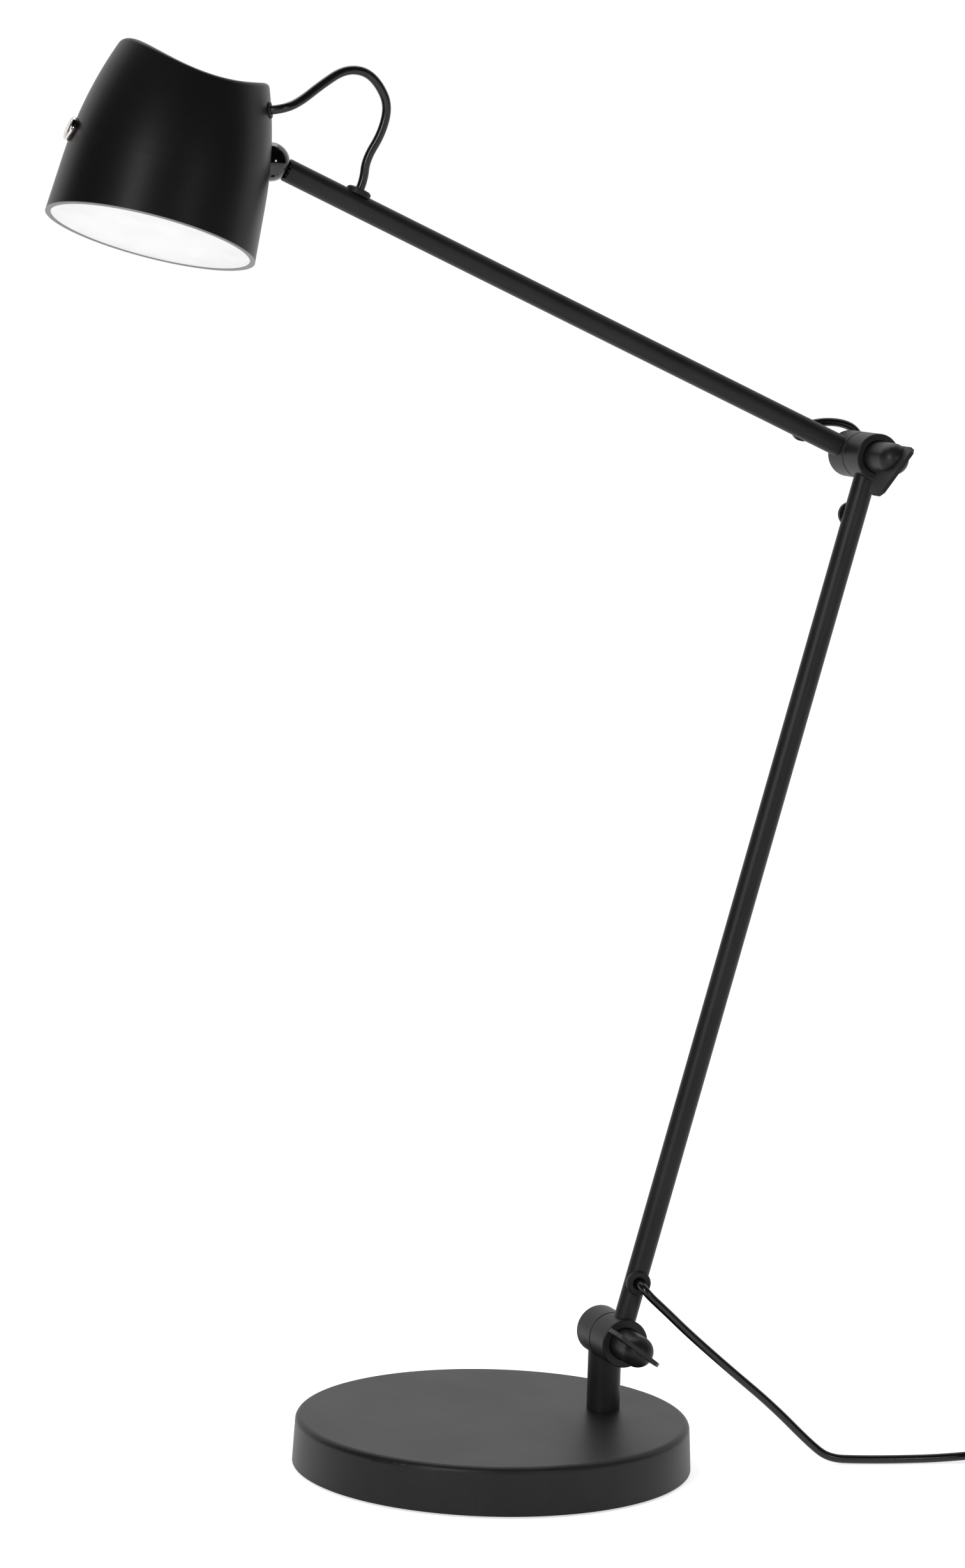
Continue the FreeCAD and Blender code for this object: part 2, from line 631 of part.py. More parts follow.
def seat_frame():
    """At the ball's centre, with Z square to the shade's wall and pointing into the shade."""
    lean = math.radians(side_slope("ball_above_rim"))
    inward = Vector(-math.cos(lean), 0, -math.sin(lean))
    side = Vector(0, 1, 0)
    turned_in = Rotation(side.cross(inward), side, inward, "ZYX")
    return Placement(BALL, SHADE_TURN * turned_in)


def switch_frame():
    """On the side away from the ball."""
    return wall_frame("switch_height", 180)


def entry_frame():
    """Where the lead enters the shade."""
    return wall_frame("lead_entry_height", size("lead_entry_angle"))


# ------------------------------------------------------------------ ball joint
def build_ball_joint():
    """Arm plug, ball, its stud, the seat it turns in, and what presses it there."""
    turned("arm_end_plug", [
        ("swivel_radius + running_gap", "upper_tube_end - 12"), ("tube_bore", "upper_tube_end - 12"),
        ("tube_bore", "upper_tube_end - 1.4"), ("swivel_radius + running_gap", "upper_tube_end - 1.4"),
    ], upper_frame)
    # The stud's head bears on the plug from inside the tube, so the ball can swivel.
    plug_back = "(upper_tube_end - 12 - upper_length)"
    turned("ball_stud", [
        ("0", f"{plug_back} - 2.6"), ("3.4", f"{plug_back} - 2.6"), ("3.4", plug_back),
        ("swivel_radius", plug_back), ("swivel_radius", "-4"), ("stud_radius", "-4"),
        ("stud_radius", "stud_reach"), ("0", "stud_reach"),
    ], ball_frame)
    turned("head_ball", [
        ("swivel_radius", "-4"),
        ("swivel_radius", "-sqrt(ball_radius * ball_radius - swivel_radius * swivel_radius)"),
        ("stud_radius", "sqrt(ball_radius * ball_radius - stud_radius * stud_radius)", "0", "0"),
        ("stud_radius", "-4"),
    ], ball_frame)

    seat = turned("seat_blank", [
        ("sqrt((ball_radius + running_gap) * (ball_radius + running_gap) - 3 * 3)", "3", "0", "0"),
        ("15.5", "3"), ("15.5", "7.4"), ("sqrt(seat_dome * seat_dome - 7.4 * 7.4)", "7.4"),
        ("0", "seat_dome", "0", "0"), ("0", "ball_radius + running_gap"),
    ], seat_frame())
    slot = slab("seat_slot", "XZ_Plane", [
        ("0", "0"), ("12", "12.2"), ("12", "16"), ("-12", "16"), ("-12", "12.2"),
    ], "stud_radius * 2 + 3.4", seat_frame())
    slotted = joined("Part::Cut", "seat_slotted", [seat, slot])
    joined("Part::Common", "socket_seat", [slotted, document.getObject("shade_hollow")])

    reach = "(seat_dome + running_gap)"
    turned("pressure_cup", [
        ("stud_radius", f"sqrt({reach} * {reach} - stud_radius * stud_radius)"),
        ("4", f"sqrt({reach} * {reach} - 16)", "0", "0"),
        ("4.6", "seat_dome + 0.4"), ("4.6", "seat_dome + 1.9"), ("stud_radius", "seat_dome + 1.9"),
    ], ball_frame)
    ring("disc_springs", "stud_radius + 0.1", "4.2", "seat_dome + 1.9", "seat_dome + 5.9", ball_frame)
    ring("lock_nut", "stud_radius", "3.2", "seat_dome + 5.9", "seat_dome + 8.5", ball_frame)


# ------------------------------------------------------------------ light
def around(count, radius, first=0.0):
    """Points evenly spaced on a circle."""
    step = 2 * math.pi / count
    start = math.radians(first)
    angles = [start + step * index for index in range(count)]
    return [Vector(radius * math.cos(angle), radius * math.sin(angle), 0) for angle in angles]


def build_light():
    """Diffuser, reflector, LED board, heat sink, its ring and screws, and the driver."""
    ring("diffuser", "0", "lip_radius - 0.1", "0.3", "2.5", shade_frame)
    turned("reflector", [
        ("lip_radius - 2.3", "2.5"), ("lip_radius - 0.3", "2.5"), ("lip_radius - 0.3", "3.7"),
        ("36.5", "board_height"), ("34.5", "board_height"),
    ], shade_frame)
    board = size("board_height")
    ring("led_board", "0", "36.5", "board_height", "board_height + 1.6", shade_frame)
    side, thick = size("chip_side"), size("chip_height")
    chip = Part.makeBox(side, side, thick, Vector(-side / 2, -side / 2, board - thick))
    spots = around(12, size("chip_circle")) + around(6, size("chip_inner_circle"), 15.0)
    chips = [moved(chip, Placement(spot, Rotation())) for spot in spots]
    set_shape("led_chips", moved(Part.makeCompound(chips), shade_frame))

    # The heat sink: a plate with three groups of fins, which stop at a circle.
    sink_low = board + 1.6
    sink_high = sink_low + size("sink_thickness")
    plate = Part.makeCylinder(size("sink_radius"), sink_high - sink_low, Vector(0, 0, sink_low))
    reach = size("fin_circle")
    fins = []
    for across in (-38, -32, -26, -8, -2, 4, 22, 28, 34):
        half = math.sqrt(reach ** 2 - across ** 2)
        low_corner = Vector(across, -half, sink_high)
        fins.append(Part.makeBox(size("fin_thickness"), 2 * half, size("fin_height"), low_corner))
    sink = plate.multiFuse(fins)
    screw_spots = around(3, size("sink_screw_circle"), 90.0)
    shank = size("sink_screw_radius")
    for spot in screw_spots:
        sink = sink.cut(Part.makeCylinder(shank, 20, spot))
    set_shape("heat_sink", moved(sink, shade_frame))

    collar = ring("collar_blank", "43.5", "56", "board_height + 4.8", "board_height + 7.8", shade_frame)
    bores = [moved(Part.makeCylinder(shank, 30, spot), shade_frame) for spot in screw_spots]
    fitted = joined("Part::Common", "collar_fitted", [collar, document.getObject("shade_hollow")])
    joined("Part::Cut", "mount_ring", [fitted, set_shape("collar_bores", Part.makeCompound(bores))])
    head_height = 1.4
    screws = []
    for spot in screw_spots:
        under = spot + Vector(0, 0, sink_low - head_height)
        screws.append(Part.makeCylinder(2.3, head_height, under).fuse(Part.makeCylinder(shank, 8.0, under)))
    set_shape("heat_sink_screws", moved(Part.makeCompound(screws), shade_frame))

    # The driver: a card on four legs, with its transformer, capacitor and terminals.
    card_low = size("driver_height")
    card_high = card_low + size("card_thickness")
    card = Part.makeBox(40, 26, card_high - card_low, Vector(-24, -13, card_low))
    feet = [Vector(x, y, sink_high) for x in (-20, 12) for y in (-10, 10)]
    legs = [Part.makeCylinder(1.8, card_low - sink_high, foot) for foot in feet]
    transformer = Part.makeBox(14, 14, 11, Vector(-10, -7, card_high))
    capacitor = Part.makeCylinder(4.5, 12, Vector(10.5, 6.5, card_high))
    terminals = Part.makeBox(8, 10, 8, Vector(7, -12, card_high))
    driver = card.multiFuse([*legs, transformer, capacitor, terminals])
    set_shape("driver", moved(driver, shade_frame))


def build_switch():
    """Round touch switch in the shade's side: bezel, sprung button and contact block."""
    place = switch_frame()
    turned("switch_bezel", [
        ("button_radius + running_gap", "-12"), ("5.6", "-12"), ("5.6", "0"), ("switch_radius", "0"),
        ("switch_radius", "0.6"), ("switch_radius - 0.5", "1.1"), ("switch_radius - 1.3", "1.1"),
        ("button_radius + running_gap", "0.7"),
    ], place)
    turned("switch_button", [
        ("0", "0.3"), ("3.9", "1.0", "0", "11.5"), ("button_radius", "0.8"), ("button_radius", "-5"),
        ("1.5", "-5"), ("1.5", "-9"), ("0", "-9"),
    ], place)
    ring("switch_spring", "2.2", "3.2", "-12", "-5", place)
    ring("switch_body", "0", "6", "-21", "-12", place)


# ------------------------------------------------------------------ leads and cord
def tangent_arc(start, corner, end):
    """The arc that leaves start towards corner and arrives at end, both as far from corner."""
    middle = (start + end) * 0.5
    rise = corner - middle
    arm = (corner - start).Length
    if rise.Length < 1e-6 * arm:
        return Part.LineSegment(start, end).toShape()
    half_turn = math.asin(min(1.0, rise.Length / arm))
    radius = arm / math.tan(half_turn)
    crown = middle + rise * (radius * (1 - math.cos(half_turn)) / rise.Length)
    return Part.Arc(start, crown, end).toShape()


def rounded_route(points):
    """Straight runs between points, with each corner as large an arc as its runs allow."""
    edges, radii = [], []
    place = points[0]
    for before, corner, after in zip(points, points[1:], points[2:]):
        back, ahead = before - corner, after - corner
        half_turn = (math.pi - back.getAngle(ahead)) / 2
        cut = 0.45 * min(back.Length, ahead.Length)
        start = corner + back * (cut / back.Length)
        end = corner + ahead * (cut / ahead.Length)
        edges.append(Part.LineSegment(place, start).toShape())
        edges.append(tangent_arc(start, corner, end))
        radii.append(round(cut / math.tan(half_turn), 1))
        place = end
    edges.append(Part.LineSegment(place, points[-1]).toShape())
    return edges, radii


def tube_along(label, edges):
    """A round solid of the lead's diameter along joined edges; its volume is compared."""
    path = Part.Wire(edges)
    start = edges[0].Vertexes[0].Point
    direction = edges[0].tangentAt(edges[0].FirstParameter)
    ring_edge = Part.makeCircle(size("cord_radius"), start, direction)
    shell = Part.BRepOffsetAPI.MakePipeShell(path)
    shell.add(Part.Wire([ring_edge]))
    shell.build()
    shell.makeSolid()
    solid = shell.shape()
    expected = math.pi * size("cord_radius") ** 2 * path.Length
    ratio = solid.Volume / expected
    print(f"{label}: {path.Length:.1f} mm long, volume {ratio:.4f} of section times length")
    return set_shape(label, solid)


def routed(label, points):
    """A lead along a route of points."""
    edges, radii = rounded_route(points)
    print(f"{label}: bend radii {radii}")
    return tube_along(label, edges)


def inner_lead(label, frame, low, low_facing, high, high_facing):
    """The lead inside a tube, from one grommet's mouth to the other's."""
    lean = size("tube_bore - cord_radius") - 0.6
    mouth = size("grommet_mouth")
    low_way, high_way = unit(low_facing), unit(high_facing)
    low_height, high_height = Vector(0, 0, size(low)), Vector(0, 0, size(high))
    points = [low_height + low_way * mouth, low_height - low_way * lean,
              high_height - high_way * lean, high_height + high_way * mouth]
    routed(label, [frame.multVec(point) for point in points])


def mouth_of(frame, height, facing, out=0.0):
    """The middle of a grommet's mouth, or a point so far straight out of it."""
    return frame.multVec(Vector(0, 0, size(height)) + unit(facing) * (size("grommet_mouth") + out))


def build_leads():
    """The lead in both tubes, its loops over the elbow and the head, and its end."""
    inner_lead("lower_arm_lead", lower_frame, "mains_grommet_at", FRONT, "low_elbow_grommet_at", BACK)
    inner_lead("upper_arm_lead", upper_frame, "top_elbow_grommet_at", BACK, "head_grommet_at", UP)

    routed("elbow_lead", [
        mouth_of(lower_frame, "low_elbow_grommet_at", BACK),
        mouth_of(lower_frame, "low_elbow_grommet_at", BACK, 5.0),
        Vector(193.5, 2.5, 515.3), Vector(201.5, 9.5, 521.5), Vector(208.0, 15.2, 531.5),
        Vector(210.6, 18.0, 543.0), Vector(204.1, 18.6, 555.8), Vector(195.6, 17.8, 559.9),
        Vector(183.0, 16.2, 560.8), Vector(171.0, 16.6, 558.4),
        mouth_of(upper_frame, "top_elbow_grommet_at", BACK, 5.4),
        mouth_of(upper_frame, "top_elbow_grommet_at", BACK),
    ])

    # The loop to the shade is two pieces that meet at its top, one each side of the ball.
    top_of_loop = Vector(-100.5, -10.7, 738.6)
    routed("head_lead_low", [
        mouth_of(upper_frame, "head_grommet_at", UP), mouth_of(upper_frame, "head_grommet_at", UP, 5.0),
        Vector(-89.9, -2.0, 693.9), Vector(-82.3, -4.0, 707.4), Vector(-79.8, -6.0, 721.4),
        Vector(-86.1, -8.2, 732.3), Vector(-94.6, -9.8, 738.6), top_of_loop,
    ])
    entry = entry_frame()
    collar_face = entry.multVec(Vector(0, 0, size("collar_height")))
    routed("head_lead_high", [
        top_of_loop, Vector(-106.4, -11.6, 738.6), Vector(-119.1, -14.0, 730.6),
        Vector(-131.7, -16.8, 721.3), entry.multVec(Vector(0, 0, size("collar_height") + 6)), collar_face,
    ])
    shade_points = [Vector(28.0, -17.0, 70.0), Vector(19.0, -13.0, 61.0), Vector(11.0, -7.5, 51.0),
                    Vector(11.0, -7.5, 39.6)]
    routed("head_lead_inside", [collar_face, entry.multVec(Vector(0, 0, -6))]
           + [shade_frame.multVec(point) for point in shade_points])
    turned("shade_grommet", [
        ("cord_radius + 0.1", "-2.6"), ("3.4", "-2.6"), ("3.4", "0"), ("4.4", "0"),
        ("4.0", "collar_height"), ("cord_radius + 0.1", "collar_height"),
    ], entry)


def coil_point(turns):
    """Place and direction on the stored cord, so many turns after it begins."""
    per_layer, pitch = size("coil_turns"), size("coil_pitch")
    outer, inner = size("coil_outer"), size("coil_inner")
    layer = min(int(turns / per_layer), int(size("coil_layers")) - 1)
    share = turns / per_layer - layer
    inwards = layer % 2 == 0
    radius = outer + (inner - outer) * (share if inwards else 1 - share)
    at_reversal = abs(share) < 1e-9 or abs(share - 1) < 1e-9
    widening = 0.0 if at_reversal else (inner - outer) / per_layer / (2 * math.pi) * (1 if inwards else -1)
    # The cord climbs a layer in the half turn round each reversal, at an eased rate.
    height, climb = size("coil_bottom"), 0.0
    for step in range(1, int(size("coil_layers"))):
        gone = (turns - step * per_layer + 0.25) / 0.5
        gone = min(1.0, max(0.0, gone))
        height += pitch * (2 * gone * gone if gone < 0.5 else 1 - 2 * (1 - gone) ** 2)
        climb += pitch * 4 * min(gone, 1 - gone) / math.pi
    angle = math.pi / 2 - 2 * math.pi * turns
    out = Vector(math.cos(angle), math.sin(angle), 0)
    onward = Vector(math.sin(angle), -math.cos(angle), 0)
    middle = Vector(size("coil_x"), size("coil_y"), height)
    direction = onward * radius + out * widening + Z_AXIS * climb
    return middle + out * radius, direction.normalize()


def biarc(start, start_way, end, end_way):
    """Two tangent arcs from one place and direction to another."""
    span = end - start
    both = start_way + end_way
    spread = 2 * (1 - start_way.dot(end_way))
    along = span.dot(both)
    arm = (-along + math.sqrt(along * along + spread * span.dot(span))) / spread
    first, second = start + start_way * arm, end - end_way * arm
    join = (first + second) * 0.5
    return [tangent_arc(start, first, join), tangent_arc(join, second, end)]


def least_gap(points, spacing, diameter):
    """The least gap between stretches of a cord that lie at least half a turn apart along it."""
    apart = int(60 / spacing)
    cell = 12.0
    grid = {}
    best = 1e9
    for index, point in enumerate(points):
        key = tuple(int(math.floor(value / cell)) for value in point)
        for dx in (-1, 0, 1):
            for dy in (-1, 0, 1):
                for dz in (-1, 0, 1):
                    for other in grid.get((key[0] + dx, key[1] + dy, key[2] + dz), ()):
                        if index - other > apart:
                            best = min(best, (points[other] - point).Length)
        grid.setdefault(key, []).append(index)
    return best - diameter


def plug_start():
    """Where the cord enters the plug's strain relief."""
    return Vector(size("plug_x"), size("plug_y"), size("plug_height"))


def build_mains():
    """The cord down to the table, its stored coil and tie, its tail and the plug."""
    total = size("coil_turns * coil_layers")
    quarters = [coil_point(0.25 * n) for n in range(int(round(total / 0.25)) + 1)]
    edges = []
    for (start, way), (end, end_way) in zip(quarters, quarters[1:]):
        edges += biarc(start, way, end, end_way)
    tube_along("cord_coil", edges)
    spacing = 1.0
    points = [point for edge in edges for point in edge.discretize(Distance=spacing)]
    print(f"cord_coil: least gap to itself {least_gap(points, spacing, 2 * size('cord_radius')):.2f} mm")

    coil_start, coil_end = quarters[0][0], quarters[-1][0]
    routed("mains_cord", [
        mouth_of(lower_frame, "mains_grommet_at", FRONT),
        mouth_of(lower_frame, "mains_grommet_at", FRONT, 5.1),
        Vector(73.6, -35.4, 96.4), Vector(83.0, -36.4, 87.8), Vector(97.2, -36.8, 74.3),
        Vector(120.1, -38.9, 54.2), Vector(145.8, -41.5, 32.6), Vector(167.6, -46.0, 10.5),
        Vector(177.5, -49.0, 2.9), Vector(193.0, -53.5, 2.4), Vector(214.0, -59.0, 2.4),
        Vector(237.0, -63.5, 2.6), Vector(260.0, -66.0, 3.6), coil_start,
    ])
    routed("cord_tail", [
        coil_end, Vector(298.0, -66.0, 18.9), Vector(313.0, -62.5, 17.4), Vector(325.0, -53.0, 13.6),
        Vector(331.6, -40.0, 9.4), plug_start() - Y_AXIS * 11.5, plug_start(),
    ])


def build_tie_and_plug():
    """A band round the coil, and a flat two-pin plug with its moulded strain relief."""
    slant = turn(Z_AXIS, 225)
    middle = Vector(size("coil_x"), size("coil_y"), 0)
    outside = block("tie_outside", "coil_outer - coil_inner + 7.5", "9", "22.3",
                    Placement(middle + slant.multVec(Vector(size("coil_inner") - 3.9, -4.5, 0.1)), slant))
    inside = block("tie_inside", "coil_outer - coil_inner + 5.9", "12", "20.7",
                   Placement(middle + slant.multVec(Vector(size("coil_inner") - 3.1, -6.0, 0.9)), slant))
    joined("Part::Cut", "cord_tie", [outside, inside])

    along = Rotation(X_AXIS, Z_AXIS * -1, Y_AXIS, "ZXY")
    place = Placement(plug_start(), along)
    relief = turned("plug_relief", [
        ("0", "0"), ("cord_radius + 0.9", "0"), ("cord_radius + 1.0", "4"), ("cord_radius + 0.6", "5"),
        ("cord_radius + 1.3", "6"), ("cord_radius + 1.5", "10"), ("cord_radius + 1.1", "11"),
        ("cord_radius + 1.8", "12"), ("cord_radius + 2.0", "16"), ("cord_radius + 1.6", "17"),
        ("cord_radius + 2.3", "18"), ("cord_radius + 2.5", "26"), ("0", "26"),
    ], place)
    grip = slab("plug_grip", "XZ_Plane", [
        ("-6", "24"), ("6", "24"), ("11", "28"), ("14.2", "38"), ("16.2", "48"), ("13", "60"),
        ("-13", "60"), ("-16.2", "48"), ("-14.2", "38"), ("-11", "28"),
    ], "plug_thickness", place)
    round_edges(grip, "2.2", lambda edge: edge.BoundBox.YLength < 0.01 and edge.BoundBox.ZMin < 59)
    thick, face = size("pin_radius"), 60.0
    tip_height = face + size("pin_length - pin_radius")
    bare = face + size("sleeve_length")
    pins, sleeves = [], []
    for across in (-size("pin_gap") / 2, size("pin_gap") / 2):
        tip = Part.makeCylinder(thick, tip_height - bare, Vector(across, 0, bare))
        tip = tip.fuse(Part.makeSphere(thick, Vector(across, 0, tip_height)))
        pins.append(tip.fuse(Part.makeCylinder(1.4, bare - 58.0, Vector(across, 0, 58.0))))
        sleeves.append(Part.makeCylinder(size("sleeve_radius"), bare - face, Vector(across, 0, face)))
    pin_set = set_shape("plug_pins", moved(Part.makeCompound(pins), place))
    sleeve_set = set_shape("plug_sleeves", moved(Part.makeCompound(sleeves), place))
    whole = joined("Part::MultiFuse", "plug_whole", [relief, grip, sleeve_set])
    joined("Part::Cut", "plug_body", [whole, pin_set])


# ------------------------------------------------------------------ check and write
PIECES = """
    base_cover ballast_disc base_plate base_pad plate_screws post_screw post
    lower_back_barrel lower_front_barrel lower_hinge_bolt lower_friction_washer
    lower_spring_washer lower_knob lower_knob_insert
    elbow_back_barrel elbow_front_barrel elbow_hinge_bolt elbow_friction_washer
    elbow_spring_washer elbow_knob elbow_knob_insert
    lower_arm_tube upper_arm_tube mains_grommet elbow_grommet_low elbow_grommet_top head_grommet
    arm_end_plug ball_stud head_ball socket_seat pressure_cup disc_springs lock_nut
    shade shade_grommet diffuser reflector led_board led_chips heat_sink mount_ring
    heat_sink_screws driver switch_bezel switch_button switch_spring switch_body
    lower_arm_lead upper_arm_lead elbow_lead head_lead_low head_lead_high head_lead_inside
    mains_cord cord_coil cord_tail cord_tie plug_body plug_pins
""".split()


def write_pieces():
    """Check every object and every piece, then write each piece to its own file."""
    document.recompute()
    for thing in document.Objects:
        if {"Invalid", "Error"} & set(thing.State):
            raise RuntimeError(f"{thing.Name} failed: {thing.State}")
    shapes = {}
    for name in PIECES:
        shape = document.getObject(name).Shape
        if shape.isNull() or not shape.isValid() or not shape.Solids:
            raise RuntimeError(f"{name} has no sound solid")
        shapes[name] = shape
    os.makedirs("parts", exist_ok=True)
    for name, shape in shapes.items():
        shape.exportStep(f"parts/{name}.step")
    print(f"{len(shapes)} pieces written")


def main():
    """Build the lamp from the base up, then write it."""
    build_base()
    build_joints()
    build_arms()
    build_shade()
    build_ball_joint()
    build_light()
    build_switch()
    build_leads()
    build_mains()
    build_tie_and_plug()
    write_pieces()


main()
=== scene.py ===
"""A black two-arm desk lamp on a pale studio floor.

The lamp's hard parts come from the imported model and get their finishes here. The cords, the
plug's moulding and the studio are made here. Lengths are in metres in the model's own frame:
+Z is up, the shade hangs out over -X, and the wing knobs face -Y.
"""

import json
import logging
import math
from dataclasses import dataclass, field
from enum import Enum
from typing import TypeAlias

import bmesh
import bpy
from mathutils import Matrix, Vector

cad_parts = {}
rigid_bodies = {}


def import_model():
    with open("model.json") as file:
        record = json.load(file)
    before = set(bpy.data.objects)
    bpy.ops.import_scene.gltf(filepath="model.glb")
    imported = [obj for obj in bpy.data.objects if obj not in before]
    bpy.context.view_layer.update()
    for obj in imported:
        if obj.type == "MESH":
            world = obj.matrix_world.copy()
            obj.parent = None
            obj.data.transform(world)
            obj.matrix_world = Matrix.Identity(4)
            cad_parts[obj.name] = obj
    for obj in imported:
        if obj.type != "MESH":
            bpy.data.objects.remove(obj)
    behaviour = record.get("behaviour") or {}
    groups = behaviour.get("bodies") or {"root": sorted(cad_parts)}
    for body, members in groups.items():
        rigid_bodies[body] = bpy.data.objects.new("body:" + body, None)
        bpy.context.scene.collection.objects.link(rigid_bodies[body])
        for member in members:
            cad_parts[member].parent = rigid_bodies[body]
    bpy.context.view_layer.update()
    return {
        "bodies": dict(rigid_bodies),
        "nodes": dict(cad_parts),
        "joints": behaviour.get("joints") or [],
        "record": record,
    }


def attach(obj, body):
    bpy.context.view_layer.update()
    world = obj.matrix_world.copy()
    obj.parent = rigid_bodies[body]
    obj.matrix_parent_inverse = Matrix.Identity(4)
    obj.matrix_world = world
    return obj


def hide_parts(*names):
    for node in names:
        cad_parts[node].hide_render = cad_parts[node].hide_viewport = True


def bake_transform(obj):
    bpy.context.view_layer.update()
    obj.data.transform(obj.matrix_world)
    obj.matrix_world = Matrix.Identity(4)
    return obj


Colour = tuple[float, float, float]
Point = tuple[float, float, float]
Amount: TypeAlias = "Flow | float"

log = logging.getLogger("desk_lamp")
WHITE: Colour = (1.0, 1.0, 1.0)
PLUG_WAY: Point = (0.0, 1.0, 0.0)
SWITCH_WAY: Point = (-0.9228, 0.10287, 0.37128)


# ---------------------------------------------------------------- shader maths


class Flow:
    """One node's output, so that shader sums read as Python."""

    def __init__(self, graph: "Graph", socket: bpy.types.NodeSocket | None) -> None:
        """Keep the graph that the output belongs to, and its socket."""
        self.graph = graph
        self.socket = socket

    def _math(self, operation: str, first: Amount, second: Amount) -> "Flow":
        """Add one Math node.

        Args:
            operation: The Math node's operation.
            first: Its first value.
            second: Its second value.

        Returns:
            The node's output.
        """
        return self.graph.node("ShaderNodeMath", {"operation": operation}, {0: first, 1: second})

    def __add__(self, other: Amount) -> "Flow":
        """This plus other."""
        return self._math("ADD", self, other)

    def __radd__(self, other: Amount) -> "Flow":
        """Other plus this."""
        return self._math("ADD", other, self)

    def __sub__(self, other: Amount) -> "Flow":
        """This minus other."""
        return self._math("SUBTRACT", self, other)

    def __rsub__(self, other: Amount) -> "Flow":
        """Other minus this."""
        return self._math("SUBTRACT", other, self)

    def __mul__(self, other: Amount) -> "Flow":
        """This times other."""
        return self._math("MULTIPLY", self, other)

    def __rmul__(self, other: Amount) -> "Flow":
        """Other times this."""
        return self._math("MULTIPLY", other, self)

    def step(self, low: float, high: float) -> "Flow":
        """Rise smoothly from 0 to 1 as this goes from low to high.

        Args:
            low: The value at which the result is 0.
            high: The value at which the result is 1, which may be below low.

        Returns:
            The eased share.
        """
        settings = {"interpolation_type": "SMOOTHSTEP", "clamp": True}
        return self.graph.node("ShaderNodeMapRange", settings, {0: self, 1: low, 2: high})


class Graph:
    """A node tree that nodes are added to."""

    def __init__(self, owner: bpy.types.Material | bpy.types.World) -> None:
        """Empty the owner's node tree and keep it."""
        owner.use_nodes = True
        self.tree = owner.node_tree
        self.tree.nodes.clear()

    def node(
        self, kind: str, settings: dict[str, object], sockets: dict[int | str, object], output: int | str = 0
    ) -> Flow:
        """Add a node of any kind.

        Args:
            kind: The node's type.
            settings: Its properties, set before its sockets.
            sockets: Values, colours or other nodes' outputs for its inputs.
            output: The name or number of the output that is wanted.

        Returns:
            That output.
        """
        made = self.tree.nodes.new(kind)
        for name, value in settings.items():
            setattr(made, name, value)
        for key, value in sockets.items():
            socket = made.inputs[key]
            if isinstance(value, Flow):
                self.tree.links.new(value.socket, socket)
            elif socket.type == "RGBA" and len(value) == 3:
                socket.default_value = (*value, 1.0)
            else:
                socket.default_value = value
        return Flow(self, made.outputs[output] if made.outputs else None)

    def seen_directly(self) -> Flow:
        """Give 1 where a ray comes from the camera, a mirror or glass, and else 0."""
        kinds = ("Is Camera Ray", "Is Glossy Ray", "Is Transmission Ray")
        camera, glossy, through = (self.node("ShaderNodeLightPath", {}, {}, kind) for kind in kinds)
        return (camera + glossy + through).step(0.0, 1.0)


class Recipe(Graph):
    """The node tree of one material."""

    def __init__(self, name: str) -> None:
        """Start an empty material of that name."""
        self.material = bpy.data.materials.new(name)
        super().__init__(self.material)
        self.place = self.node("ShaderNodeTexCoord", {}, {}, "Object")

    def noise(self, scale: float, detail: float = 2.0, stretch: Point = (1.0, 1.0, 1.0)) -> Flow:
        """Add a noise pattern.

        Args:
            scale: Features per metre.
            detail: Octaves of finer noise.
            stretch: Scale along each axis.

        Returns:
            The pattern, about 0.5 on average.
        """
        place = self.vector("MULTIPLY", self.place, stretch)
        sockets = {"Vector": place, "Scale": scale, "Detail": detail}
        return self.node("ShaderNodeTexNoise", {}, sockets, "Fac")

    def cells(self, scale: float, output: str = "Distance") -> Flow:
        """Add a cell pattern.

        Args:
            scale: Cells per metre.
            output: Distance from a cell's middle, or Color for a level per cell.

        Returns:
            The pattern.
        """
        return self.node("ShaderNodeTexVoronoi", {}, {"Vector": self.place, "Scale": scale}, output)

    def vector(self, operation: str, first: object, second: object, output: int | str = 0) -> Flow:
        """Add a Vector Math node.

        Args:
            operation: Its operation.
            first: Its first vector.
            second: Its second vector.
            output: Vector, or Value for a dot product or a length.

        Returns:
            The result.
        """
        return self.node("ShaderNodeVectorMath", {"operation": operation}, {0: first, 1: second}, output)

    def mix(self, share: Amount, first: object, second: object) -> Flow:
        """Mix two colours.

        Args:
            share: How much of the second shows.
            first: The colour at share 0.
            second: The colour at share 1.

        Returns:
            The mixed colour.
        """
        return self.node("ShaderNodeMix", {"data_type": "RGBA"}, {0: share, 6: first, 7: second}, 2)

    def bump(self, height: Flow, depth: float) -> Flow:
        """Turn a height pattern into a normal.

        Args:
            height: The pattern, from 0 to 1.
            depth: How far apart its low and high places are.

        Returns:
            The normal.
        """
        sockets = {"Height": height, "Distance": depth, "Strength": 1.0}
        return self.node("ShaderNodeBump", {}, sockets, "Normal")

    def surface(self, sockets: dict[str, object]) -> bpy.types.Material:
        """Finish the material with one Principled shader.

        Args:
            sockets: Values or links of the shader's sockets.

        Returns:
            The material.
        """
        shader = self.node("ShaderNodeBsdfPrincipled", {}, sockets, "BSDF")
        self.node("ShaderNodeOutputMaterial", {}, {"Surface": shader})
        return self.material


# ---------------------------------------------------------------- finishes


